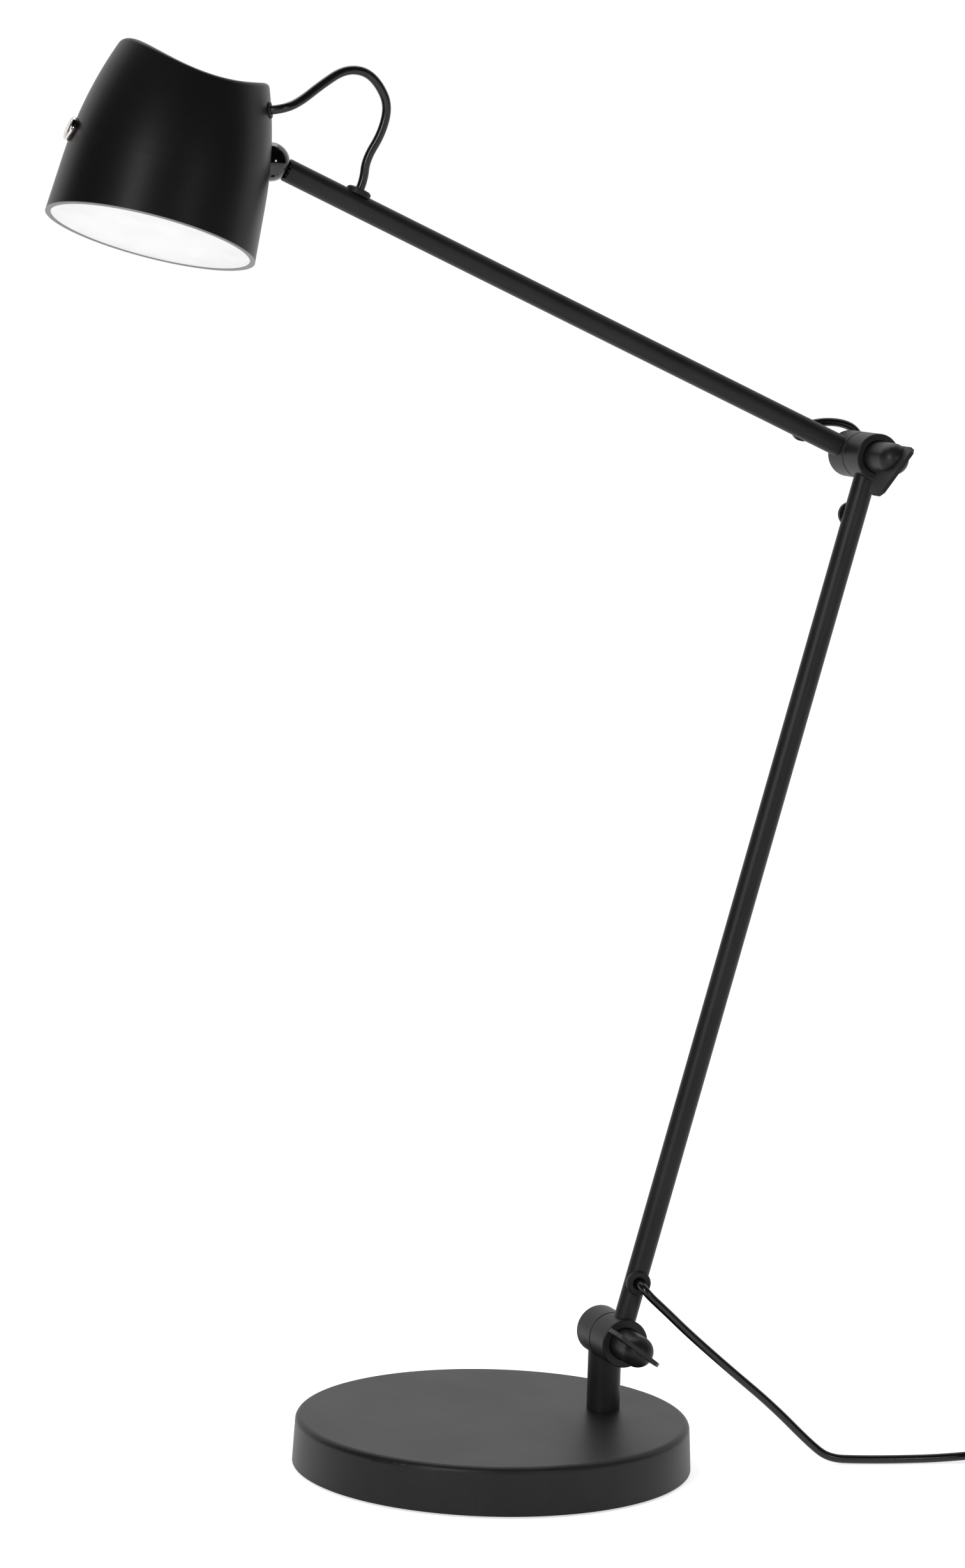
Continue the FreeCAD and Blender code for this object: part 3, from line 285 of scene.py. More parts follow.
@dataclass(frozen=True)
class Finish:
    """What every finish has: two colours that its pattern mixes, roughness and relief."""

    slot: str
    colour: Colour
    second: Colour
    roughness: float
    spread: float
    relief: float
    scale: float
    metallic: float = 0.0
    specular: float = 0.5
    coat: float = 0.0

    def pattern(self, recipe: Recipe) -> tuple[Flow, Flow]:
        """Give plain fine grain.

        Args:
            recipe: The material that is being made.

        Returns:
            Where the second colour shows, and how high the surface stands, both from 0 to 1.
        """
        grain = recipe.noise(self.scale)
        return recipe.noise(self.scale * 0.06, 3.0).step(0.35, 0.7), grain

    def extras(self, recipe: Recipe) -> dict[str, object]:
        """Sockets that only some finishes set."""
        return {}

    def make(self) -> bpy.types.Material:
        """Build the material.

        Returns:
            The finished material, named after its slot.
        """
        recipe = Recipe(self.slot)
        mask, height = self.pattern(recipe)
        sockets = {
            "Base Color": recipe.mix(mask, self.colour, self.second),
            "Roughness": mask * self.spread + self.roughness,
            "Normal": recipe.bump(height, self.relief),
            "Metallic": self.metallic,
            "Specular IOR Level": self.specular,
            "Coat Weight": self.coat,
        }
        return recipe.surface(sockets | self.extras(recipe))


@dataclass(frozen=True)
class PowderCoat(Finish):
    """Satin black powder coat: a fine orange-peel skin with faint lighter grains and a few pinholes."""

    grain_scale: float = 2600.0
    mottle_scale: float = 26.0
    pinhole_scale: float = 210.0

    def pattern(self, recipe: Recipe) -> tuple[Flow, Flow]:
        """Mix grains, slow mottling and pinholes."""
        peel = recipe.noise(self.scale, 1.0)
        grains = recipe.noise(self.grain_scale, 0.0).step(0.56, 0.74)
        mottle = recipe.noise(self.mottle_scale, 3.0).step(0.3, 0.75)
        pinholes = recipe.cells(self.pinhole_scale).step(0.07, 0.03)
        mask = grains * 0.45 + mottle * 0.35 + pinholes * 0.6
        return mask, peel - pinholes * 0.8


@dataclass(frozen=True)
class RimmedPowderCoat(PowderCoat):
    """The same coat on the shade, with a painted reflection that shows its flat rim greyer."""

    rim_middle: Point = (0.0, 0.0, 0.0)
    rim_axis: Point = (0.0, 0.0, 1.0)
    rim_painted_reflection_colour: Colour = (0.2, 0.2, 0.2)
    rim_width: float = 0.0004

    def extras(self, recipe: Recipe) -> dict[str, object]:
        """Lighten the faces that lie in the rim's plane, as a painted reflection."""
        offset = recipe.vector("SUBTRACT", recipe.place, self.rim_middle)
        height = recipe.vector("DOT_PRODUCT", offset, self.rim_axis, "Value")
        rim = height.step(self.rim_width * 1.5, self.rim_width)
        grains = recipe.noise(self.grain_scale, 0.0).step(0.5, 0.75)
        body = recipe.mix(grains * 0.45 + 0.2, self.colour, self.second)
        return {"Base Color": recipe.mix(rim, body, self.rim_painted_reflection_colour)}


@dataclass(frozen=True)
class Lacquer(Finish):
    """Gloss black lacquer with a barely visible orange peel and fine rubbed streaks."""

    def pattern(self, recipe: Recipe) -> tuple[Flow, Flow]:
        """Give long shallow waves, and hair-fine rubbing that dulls the gloss."""
        rubbing = recipe.noise(self.scale * 9.0, 2.0, (1.0, 0.12, 1.0)).step(0.62, 0.8)
        return rubbing, recipe.noise(self.scale, 1.0)


@dataclass(frozen=True)
class MouldedPlastic(Finish):
    """Matte plastic from a spark-eroded mould, with slow patches of polish."""

    wear_scale: float = 55.0

    def pattern(self, recipe: Recipe) -> tuple[Flow, Flow]:
        """Give close shallow pits and slow patches of wear."""
        pits = recipe.cells(self.scale).step(0.15, 0.6)
        wear = recipe.noise(self.wear_scale, 2.0).step(0.45, 0.7)
        return pits * 0.4 + wear * 0.5, pits


@dataclass(frozen=True)
class CordVinyl(Finish):
    """Smooth vinyl sheath with faint marks of the wires twisted inside it."""

    def pattern(self, recipe: Recipe) -> tuple[Flow, Flow]:
        """Give slow waves along the sheath and scattered scuffs."""
        scuffs = recipe.noise(self.scale * 2.5, 3.0).step(0.58, 0.74)
        return scuffs, recipe.noise(self.scale * 0.4, 1.0)


@dataclass(frozen=True)
class OpalAcrylic(Finish):
    """Opal sheet that glows evenly from the lamps behind it, a touch brighter in its middle."""

    middle: Point = (0.0, 0.0, 0.0)
    radius: float = 0.05
    glow: float = 0.2
    edge_colour: Colour = (0.78, 0.78, 0.78)

    def extras(self, recipe: Recipe) -> dict[str, object]:
        """Let the glow fall off a little towards the edge."""
        offset = recipe.vector("SUBTRACT", recipe.place, self.middle)
        reach = recipe.vector("LENGTH", offset, (0.0, 0.0, 0.0), "Value")
        edge = reach.step(self.radius * 0.45, self.radius * 1.02)
        return {
            "Emission Color": recipe.mix(edge, WHITE, self.edge_colour),
            "Emission Strength": self.glow,
        }


@dataclass(frozen=True)
class WovenStrap(Finish):
    """Hook-and-loop strap with a close weave."""

    def pattern(self, recipe: Recipe) -> tuple[Flow, Flow]:
        """Cross two sets of waves into a weave."""
        sockets = {"Vector": recipe.place, "Scale": self.scale}
        warp, weft = (
            recipe.node("ShaderNodeTexWave", {"wave_type": "BANDS", "bands_direction": way}, sockets, "Fac")
            for way in ("Z", "DIAGONAL")
        )
        return warp * weft, warp * 0.5 + weft * 0.5


@dataclass(frozen=True)
class SawnIron(Finish):
    """Cast iron with a sandy skin and darker pores."""

    def pattern(self, recipe: Recipe) -> tuple[Flow, Flow]:
        """Give sand grain and pores."""
        sand = recipe.noise(self.scale, 4.0)
        pores = recipe.cells(self.scale * 0.3).step(0.25, 0.1)
        return sand.step(0.4, 0.65), sand - pores * 0.6


@dataclass(frozen=True)
class TurnedMetal(Finish):
    """Metal off a lathe, with fine rings round its own axis and a cloudy sheen."""

    axis: Point = (0.0, 1.0, 0.0)
    cloud_scale: float = 160.0

    def pattern(self, recipe: Recipe) -> tuple[Flow, Flow]:
        """Give rings along the axis and slow clouds."""
        along = recipe.vector("DOT_PRODUCT", recipe.place, self.axis, "Value")
        sockets = {"W": along, "Scale": self.scale, "Detail": 3.0}
        rings = recipe.node("ShaderNodeTexNoise", {"noise_dimensions": "1D"}, sockets, "Fac")
        clouds = recipe.noise(self.cloud_scale, 2.0).step(0.35, 0.7)
        return clouds * 0.6 + rings * 0.4, rings


@dataclass(frozen=True)
class PlatedSteel(Finish):
    """Zinc plate, with the small bright and dull patches of its crystals."""

    def pattern(self, recipe: Recipe) -> tuple[Flow, Flow]:
        """Give patches that each have their own level."""
        patches = recipe.noise(self.scale, 3.0).step(0.4, 0.62)
        return patches, recipe.noise(self.scale * 4.0)


@dataclass(frozen=True)
class PressedFibre(Finish):
    """Grey fibre sheet, with short fibres pressed flat."""

    def pattern(self, recipe: Recipe) -> tuple[Flow, Flow]:
        """Cross two stretched grains."""
        one = recipe.noise(self.scale, 2.0, (1.0, 1.0, 0.15))
        other = recipe.noise(self.scale, 2.0, (0.15, 1.0, 1.0))
        return (one * other).step(0.15, 0.4), one


@dataclass(frozen=True)
class SolderMask(Finish):
    """White board lacquer with the faint lines of the copper under it."""

    def pattern(self, recipe: Recipe) -> tuple[Flow, Flow]:
        """Give straight copper edges in square fields."""
        settings = {"feature": "F1", "distance": "CHEBYCHEV"}
        sockets = {"Vector": recipe.place, "Scale": self.scale}
        fields = recipe.node("ShaderNodeTexVoronoi", settings, sockets, "Distance")
        tracks = fields.step(0.36, 0.4)
        return tracks, tracks


SHADE_MIDDLE: Point = (-0.20494, -0.00290, 0.65166)
SHADE_AXIS: Point = (0.27318, 0.13312, 0.95271)

COAT = PowderCoat(
    "black_powder_coat", (0.006, 0.0059, 0.0061), (0.0195, 0.0193, 0.0197), 0.42, 0.1, 0.000022, 1500.0,
    specular=0.22,
)
# The same black powder coat as COAT, with darker colours as painted shade for the light that falls on the
# shade.
SHADE_COAT_PAINTED_DARKER = RimmedPowderCoat(
    "black_powder_coat", (0.0034, 0.0033, 0.0035), (0.0085, 0.0083, 0.0086), 0.36, 0.1, 0.000018, 1500.0,
    specular=0.22, rim_middle=SHADE_MIDDLE, rim_axis=SHADE_AXIS,
)
BALL_LACQUER = Lacquer(
    "gloss_black_ball", (0.003, 0.003, 0.003), (0.006, 0.006, 0.006), 0.1, 0.1, 0.000008, 320.0,
    specular=0.45, coat=0.2,
)
KNOB_PLASTIC = MouldedPlastic(
    "black_plastic", (0.006, 0.006, 0.0062), (0.012, 0.012, 0.0125), 0.46, -0.1, 0.000018, 1900.0,
    specular=0.25,
)
GROMMET_RUBBER = Finish(
    "black_rubber", (0.005, 0.005, 0.005), (0.012, 0.012, 0.012), 0.5, 0.15, 0.00002, 1300.0, specular=0.25
)
CORD_SHEATH = CordVinyl(
    "cord_vinyl", (0.004, 0.004, 0.0043), (0.01, 0.01, 0.01), 0.26, 0.14, 0.00004, 420.0, specular=0.4
)
TIE_STRAP = WovenStrap(
    "black_plastic", (0.012, 0.012, 0.012), (0.04, 0.04, 0.04), 0.75, 0.1, 0.00015, 330.0, specular=0.2
)
OPAL = OpalAcrylic(
    "opal_acrylic", (0.9, 0.9, 0.9), (0.86, 0.86, 0.86), 0.36, 0.06, 0.000008, 900.0,
    middle=SHADE_MIDDLE, radius=0.0519,
)
REFLECTOR_WHITE = Finish(
    "white_reflector", (0.88, 0.88, 0.86), (0.82, 0.82, 0.8), 0.5, 0.1, 0.00001, 1200.0
)
IRON = SawnIron("cast_iron", (0.05, 0.05, 0.05), (0.09, 0.085, 0.08), 0.72, 0.1, 0.0002, 900.0)
ZINC = PlatedSteel(
    "zinc_steel", (0.55, 0.56, 0.58), (0.68, 0.69, 0.7), 0.28, 0.14, 0.00001, 420.0, metallic=1.0
)
FIBRE = PressedFibre("grey_fibre", (0.2, 0.19, 0.17), (0.34, 0.33, 0.3), 0.82, 0.08, 0.00005, 1400.0)
BRASS = TurnedMetal(
    "brass", (0.75, 0.55, 0.25), (0.84, 0.66, 0.36), 0.2, 0.12, 0.000015, 4200.0, metallic=1.0
)
BOARD = SolderMask("board_laminate", (0.82, 0.83, 0.8), (0.72, 0.74, 0.7), 0.34, 0.1, 0.00004, 130.0)
PHOSPHOR = Finish("led_phosphor", (0.9, 0.74, 0.22), (0.84, 0.66, 0.16), 0.4, 0.1, 0.00003, 1800.0)
ALUMINIUM = SawnIron(
    "bare_aluminium", (0.72, 0.73, 0.74), (0.8, 0.81, 0.82), 0.44, 0.1, 0.00004, 1500.0, metallic=1.0
)
# Chrome whose colours are tinted warm, as a painted reflection of a warm room.
CHROME_WITH_PAINTED_WARM_REFLECTION = TurnedMetal(
    "chrome", (0.58, 0.53, 0.51), (0.68, 0.64, 0.62), 0.1, 0.08, 0.000004, 2600.0, metallic=1.0,
    axis=SWITCH_WAY,
)


# ---------------------------------------------------------------- shared building


@dataclass
class SubAssembly:
    """A named group of the lamp's parts, with the finish of each."""

    frame: dict[str, object]
    shelf: dict[Finish, bpy.types.Material]
    wear: dict[Finish, tuple[str, ...]] = field(default_factory=dict)

    def material(self, finish: Finish) -> bpy.types.Material:
        """Make a finish once, and give the same material each time."""
        if finish not in self.shelf:
            self.shelf[finish] = finish.make()
        return self.shelf[finish]

    def dress(self) -> None:
        """Put each finish on its parts."""
        for finish, names in self.wear.items():
            for name in names:
                part = self.frame["nodes"][name]
                for slot in part.material_slots:
                    slot.material = self.material(finish)
                if not part.material_slots:
                    part.data.materials.append(self.material(finish))
                log.info("%s wears %s", name, finish.slot)

    def new_piece(self, name: str, mesh: bpy.types.Mesh, finish: Finish) -> bpy.types.Object:
        """Put a new mesh in the scene.

        Args:
            name: The piece's name.
            mesh: Its mesh, in the lamp's own frame.
            finish: The finish that it wears.

        Returns:
            The piece, not yet riding on a body.
        """
        mesh.name = name
        mesh.materials.clear()
        mesh.materials.append(self.material(finish))
        mesh.shade_smooth()
        piece = bpy.data.objects.new(name, mesh)
        bpy.context.scene.collection.objects.link(piece)
        log.info("%s: %d faces", name, len(mesh.polygons))
        return piece

    def rigid_piece(
        self, name: str, shape: bmesh.types.BMesh, finish: Finish, body: str, *nodes: str
    ) -> bpy.types.Object:
        """Finish a mesh as a hard piece that stands for parts of the model.

        Args:
            name: The piece's name.
            shape: Its mesh, which is used up.
            finish: The finish that it wears.
            body: The body that it moves with.
            nodes: The parts that it stands for.

        Returns:
            The piece.
        """
        bmesh.ops.recalc_face_normals(shape, faces=shape.faces)
        mesh = bpy.data.meshes.new(name)
        shape.to_mesh(mesh)
        shape.free()
        piece = self.new_piece(name, mesh, finish)
        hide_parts(*nodes)
        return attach(piece, body)

    def build(self) -> None:
        """Dress the parts that come with the model."""
        self.dress()


def skin(shape: bmesh.types.BMesh, rows: list[list[bmesh.types.BMVert]]) -> None:
    """Join rows of points with faces, and close open ends.

    Args:
        shape: The mesh that the points are in.
        rows: Rings of points, or single points at closed ends.
    """
    for near, far in zip(rows, rows[1:]):
        count = max(len(near), len(far))
        for step in range(count):
            after = (step + 1) % count
            round_the_face = ((near, step), (near, after), (far, after), (far, step))
            corners = [row[turn % len(row)] for row, turn in round_the_face]
            shape.faces.new(list(dict.fromkeys(corners)))
    for row in (rows[0], rows[-1]):
        if len(row) > 1:
            shape.faces.new(row)


@dataclass(frozen=True)
class Turning:
    """A profile that is turned round a line, as on a lathe."""

    foot: Point
    along: Point
    profile: tuple[tuple[float, float], ...]
    steps: int = 48

    def add_to(self, shape: bmesh.types.BMesh) -> None:
        """Add the turned surface to a mesh.

        Args:
            shape: The mesh that it joins.
        """
        along = Vector(self.along).normalized()
        side = along.orthogonal().normalized()
        other = along.cross(side)
        angles = [2 * math.pi * step / self.steps for step in range(self.steps)]
        rows = []
        for height, radius in self.profile:
            middle = Vector(self.foot) + along * height
            spokes = [side * math.cos(a) + other * math.sin(a) for a in angles] if radius else [Vector()]
            rows.append([shape.verts.new(middle + spoke * radius) for spoke in spokes])
        skin(shape, rows)


@dataclass(frozen=True)
class TubeAxis:
    """The line of an arm's tube, for the places where cords leave it."""

    foot: Vector
    side: Vector
    along: Vector
    mouth_reach: float = 0.0078

    def mouth(self, height: float, facing: float, out: float = 0.0) -> Vector:
        """Find the mouth of a grommet in the tube.

        Args:
            height: Distance along the tube from its foot.
            facing: Degrees round the tube, from its side direction towards +Y.
            out: Distance outside the grommet.

        Returns:
            The place.
        """
        angle = math.radians(facing)
        reach = self.mouth_reach + out
        across = self.side * math.cos(angle) + Vector((0.0, math.sin(angle), 0.0))
        return self.foot + across * reach + self.along * height


LOWER_TUBE = TubeAxis(
    Vector((0.0643, -0.0187, 0.0684)), Vector((0.96423, 0.0, -0.26505)), Vector((0.26505, 0.0, 0.96423))
)
UPPER_TUBE = TubeAxis(
    Vector((0.1950763, 0.0, 0.54415321)), Vector((0.40083, 0.0, 0.91615)), Vector((-0.91615, 0.0, 0.40083))
)


def through(*places: Point) -> list[Vector]:
    """Give a cord's listed points as vectors."""
    return [Vector(place) for place in places]


class Lay(Enum):
    """How a cord lies."""

    LOOSE = "loose"
    COILED = "coiled"


class FarEnd(Enum):
    """What a cord ends in."""

    PLUG = "plug"
    LAMP = "object"


@dataclass
class Sheath:
    """A round cord on one smooth curve."""

    name: str
    route: list[Vector]
    length: float
    stands_for: tuple[str, ...]
    moves: tuple[str, str]
    bends: tuple[Vector, Vector]
    lay: Lay = Lay.LOOSE
    far_end: FarEnd = FarEnd.LAMP
    carries: tuple[str, ...] = ()
    radius: float = 0.0023
    rings_per_point: int = 10
    roundness: int = 5

    def _mesh(self, holder: bpy.types.Object) -> bpy.types.Mesh:
        """Read the mesh of the curve as it is now."""
        bpy.context.view_layer.update()
        return bpy.data.meshes.new_from_object(holder.evaluated_get(bpy.context.evaluated_depsgraph_get()))

    def lay_out(self, owner: SubAssembly, finish: Finish) -> bpy.types.Object:
        """Args:
            owner: The sub-assembly that it belongs to.
            finish: Its finish.

        Returns:
            The cord's piece.
        """
        curve = bpy.data.curves.new(self.name, "CURVE")
        curve.dimensions = "3D"
        curve.resolution_u = self.rings_per_point
        spline = curve.splines.new("NURBS")
        spline.points.add(len(self.route) - 1)
        for control, place in zip(spline.points, self.route):
            control.co = (*place, 1.0)
        spline.order_u = 3
        spline.use_endpoint_u = True
        holder = bpy.data.objects.new(f"{self.name}_line", curve)
        bpy.context.scene.collection.objects.link(holder)
        line = self._mesh(holder)
        curve.bevel_depth = self.radius
        curve.bevel_resolution = self.roundness
        curve.use_fill_caps = True
        piece = owner.new_piece(self.name, self._mesh(holder), finish)
        bpy.data.objects.remove(holder)
        bpy.data.meshes.remove(line)
        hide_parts(*self.stands_for)
        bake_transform(piece)
        2 * self.radius
        return piece


# ---------------------------------------------------------------- the lamp's sub-assemblies


@dataclass
class WeightedBase(SubAssembly):
    """The round base with its post, the iron disc inside and the pad underneath."""

    wear: dict[Finish, tuple[str, ...]] = field(
        default_factory=lambda: {
            COAT: ("base_cover", "post", "lower_back_barrel"),
            IRON: ("ballast_disc",),
            ZINC: ("base_plate", "plate_screws", "post_screw", "lower_hinge_bolt"),
            GROMMET_RUBBER: ("base_pad",),
            FIBRE: ("lower_friction_washer",),
        }
    )


@dataclass
class LowerArm(SubAssembly):
    """The lower tube between its two front barrels, with the grommets and the lead inside it."""

    wear: dict[Finish, tuple[str, ...]] = field(
        default_factory=lambda: {
            COAT: ("lower_front_barrel", "lower_arm_tube", "elbow_front_barrel"),
            ZINC: ("lower_spring_washer", "elbow_spring_washer"),
            GROMMET_RUBBER: ("mains_grommet", "elbow_grommet_low"),
            CORD_SHEATH: ("lower_arm_lead",),
        }
    )


@dataclass
class UpperArm(SubAssembly):
    """The upper tube from the elbow's back barrel to the ball."""

    wear: dict[Finish, tuple[str, ...]] = field(
        default_factory=lambda: {
            COAT: ("elbow_back_barrel", "upper_arm_tube"),
            ZINC: ("elbow_hinge_bolt",),
            FIBRE: ("elbow_friction_washer",),
            GROMMET_RUBBER: ("elbow_grommet_top", "head_grommet"),
            CORD_SHEATH: ("upper_arm_lead",),
            KNOB_PLASTIC: ("arm_end_plug",),
        }
    )


@dataclass
class WingKnobs(SubAssembly):
    """The two wing knobs that clamp the arm joints, each with its threaded insert."""

    wear: dict[Finish, tuple[str, ...]] = field(
        default_factory=lambda: {
            KNOB_PLASTIC: ("lower_knob", "elbow_knob"),
            BRASS: ("lower_knob_insert", "elbow_knob_insert"),
        }
    )


@dataclass
class BallJoint(SubAssembly):
    """The gloss ball that the shade turns on, with the clamp behind it."""

    wear: dict[Finish, tuple[str, ...]] = field(
        default_factory=lambda: {
            BALL_LACQUER: ("head_ball",),
            ZINC: ("ball_stud", "pressure_cup", "disc_springs", "lock_nut"),
        }
    )


@dataclass
class Head(SubAssembly):
    """The shade with its light source, its diffuser and the switch on its side."""

    wear: dict[Finish, tuple[str, ...]] = field(
        default_factory=lambda: {
            SHADE_COAT_PAINTED_DARKER: ("shade",),
            GROMMET_RUBBER: ("shade_grommet",),
            OPAL: ("diffuser",),
            REFLECTOR_WHITE: ("reflector",),
            BOARD: ("led_board", "driver"),
            PHOSPHOR: ("led_chips",),
            ALUMINIUM: ("heat_sink", "mount_ring"),
            ZINC: ("heat_sink_screws", "switch_spring"),
            KNOB_PLASTIC: ("switch_body", "socket_seat"),
            CORD_SHEATH: ("head_lead_inside",),
        }
    )
    switch_foot: Point = (-0.24327, 0.0071, 0.70429)
    switch_steps: int = 64
    collar: tuple[tuple[float, float], ...] = (
        (-0.012, 0.00461), (-0.012, 0.0056), (-0.0006, 0.0056), (-0.0006, 0.0062), (0.0022, 0.0062),
        (0.0025, 0.0061), (0.0028, 0.0058), (0.0029, 0.0054), (0.0029, 0.0051), (0.0026, 0.00475),
        (0.0026, 0.00461), (-0.012, 0.00461),
    )
    cap: tuple[tuple[float, float], ...] = (
        (-0.009, 0.0), (-0.009, 0.0015), (-0.0041, 0.0015), (-0.0041, 0.00455), (0.0026, 0.00455),
        (0.0029, 0.0044), (0.0031, 0.004), (0.00315, 0.0032), (0.003, 0.0018), (0.0029, 0.0),
    )

    def build(self) -> None:
        """Dress the head and turn the two bright pieces of its switch."""
        self.dress()
        for name, profile, body, node in (
            ("switch_collar", self.collar, "head", "switch_bezel"),
            ("switch_face", self.cap, "switch_cap", "switch_button"),
        ):
            shape = bmesh.new()
            Turning(self.switch_foot, SWITCH_WAY, profile, self.switch_steps).add_to(shape)
            self.rigid_piece(name, shape, CHROME_WITH_PAINTED_WARM_REFLECTION, body, node)


@dataclass
class Leads(SubAssembly):
    """The short leads that cross the joints in the open."""

    entry: Vector = field(default_factory=lambda: Vector((-0.14741, -0.0169, 0.71689)))
    entry_way: Vector = field(default_factory=lambda: Vector((0.86864, -0.48351, 0.10805)))
    top: Vector = field(default_factory=lambda: Vector((-0.1005, -0.0107, 0.7386)))
    elbow_low: float = 0.4608
    elbow_high: float = 0.032
    head_mouth: float = 0.317

    def build(self) -> None:
        """Make the elbow's loop and the two halves of the head's loop."""
        self.elbow_loop()
        self.head_loop()

    def elbow_loop(self) -> None:
        """Lay the lead that goes round behind the elbow."""
        back = 88.0
        start, end = LOWER_TUBE.mouth(self.elbow_low, back), UPPER_TUBE.mouth(self.elbow_high, back)
        route = [
            start, LOWER_TUBE.mouth(self.elbow_low, back, 0.005),
            *through(
                (0.1935, 0.0025, 0.5153), (0.2015, 0.0095, 0.5215), (0.208, 0.0152, 0.5315),
                (0.2106, 0.018, 0.543), (0.2041, 0.0186, 0.5558), (0.1956, 0.0178, 0.5599),
                (0.183, 0.0162, 0.5608), (0.171, 0.0166, 0.5584),
            ),
            UPPER_TUBE.mouth(self.elbow_high, back, 0.0054), end,
        ]
        bends = (Vector((0.1985, 0.007, 0.519)), Vector((0.196, 0.0178, 0.5598)))
        Sheath(
            "elbow_loop", route, 0.112, ("elbow_lead",), ("lower_arm", "upper_arm"), bends
        ).lay_out(self, CORD_SHEATH)

    def head_loop(self) -> None:
        """Lay the lead that arches from the upper arm into the shade."""
        up = 0.0
        start = UPPER_TUBE.mouth(self.head_mouth, up)
        rise = [
            start, UPPER_TUBE.mouth(self.head_mouth, up, 0.005),
            *through(
                (-0.0899, -0.002, 0.6939), (-0.0823, -0.004, 0.7074), (-0.0798, -0.006, 0.7214),
                (-0.0861, -0.0082, 0.7323), (-0.0946, -0.0098, 0.7386),
            ),
            self.top,
        ]
        fall = [
            self.top,
            *through((-0.1064, -0.0116, 0.7386), (-0.1191, -0.014, 0.7306), (-0.1317, -0.0168, 0.7213)),
            self.entry + self.entry_way * 0.0068,
            self.entry + self.entry_way * 0.0008,
        ]
        Sheath(
            "head_loop_low", rise, 0.0744, ("head_lead_low",), ("upper_arm", "ball_joint"), (rise[2], rise[6])
        ).lay_out(self, CORD_SHEATH)
        Sheath(
            "head_loop_high", fall, 0.0535, ("head_lead_high",), ("ball_joint", "head"), (fall[1], fall[4])
        ).lay_out(self, CORD_SHEATH)


@dataclass
class StoredCoil:
    """The neat round coil in which the cord's spare length is put away."""

    middle: Point = (0.281, -0.098, 0.0036)
    inner: float = 0.020
    outer: float = 0.032
    turns_per_layer: float = 2.25
    layers: int = 4
    pitch: float = 0.0051
    climb: float = 0.5
    points_per_turn: int = 16

    def place(self, turns: float) -> Vector:
        """Find a place on the coil.

        Args:
            turns: How many turns after the coil begins.

        Returns:
            The control point there, a little outside the cord's own line.
        """
        layer = min(int(turns / self.turns_per_layer), self.layers - 1)
        share = turns / self.turns_per_layer - layer
        radius = self.outer + (self.inner - self.outer) * (share if layer % 2 == 0 else 1 - share)
        radius /= math.cos(math.pi / self.points_per_turn)
        height = 0.0
        for step in range(1, self.layers):
            gone = min(1.0, max(0.0, (turns - step * self.turns_per_layer) / self.climb + 0.5))
            height += self.pitch * (2 * gone * gone if gone < 0.5 else 1 - 2 * (1 - gone) ** 2)
        angle = math.pi / 2 - 2 * math.pi * turns
        return Vector(self.middle) + Vector((math.cos(angle) * radius, math.sin(angle) * radius, height))

    def places(self) -> list[Vector]:
        """Give the coil's control points in order."""
        count = round(self.turns_per_layer * self.layers * self.points_per_turn)
        return [self.place(number / self.points_per_turn) for number in range(1, count)]


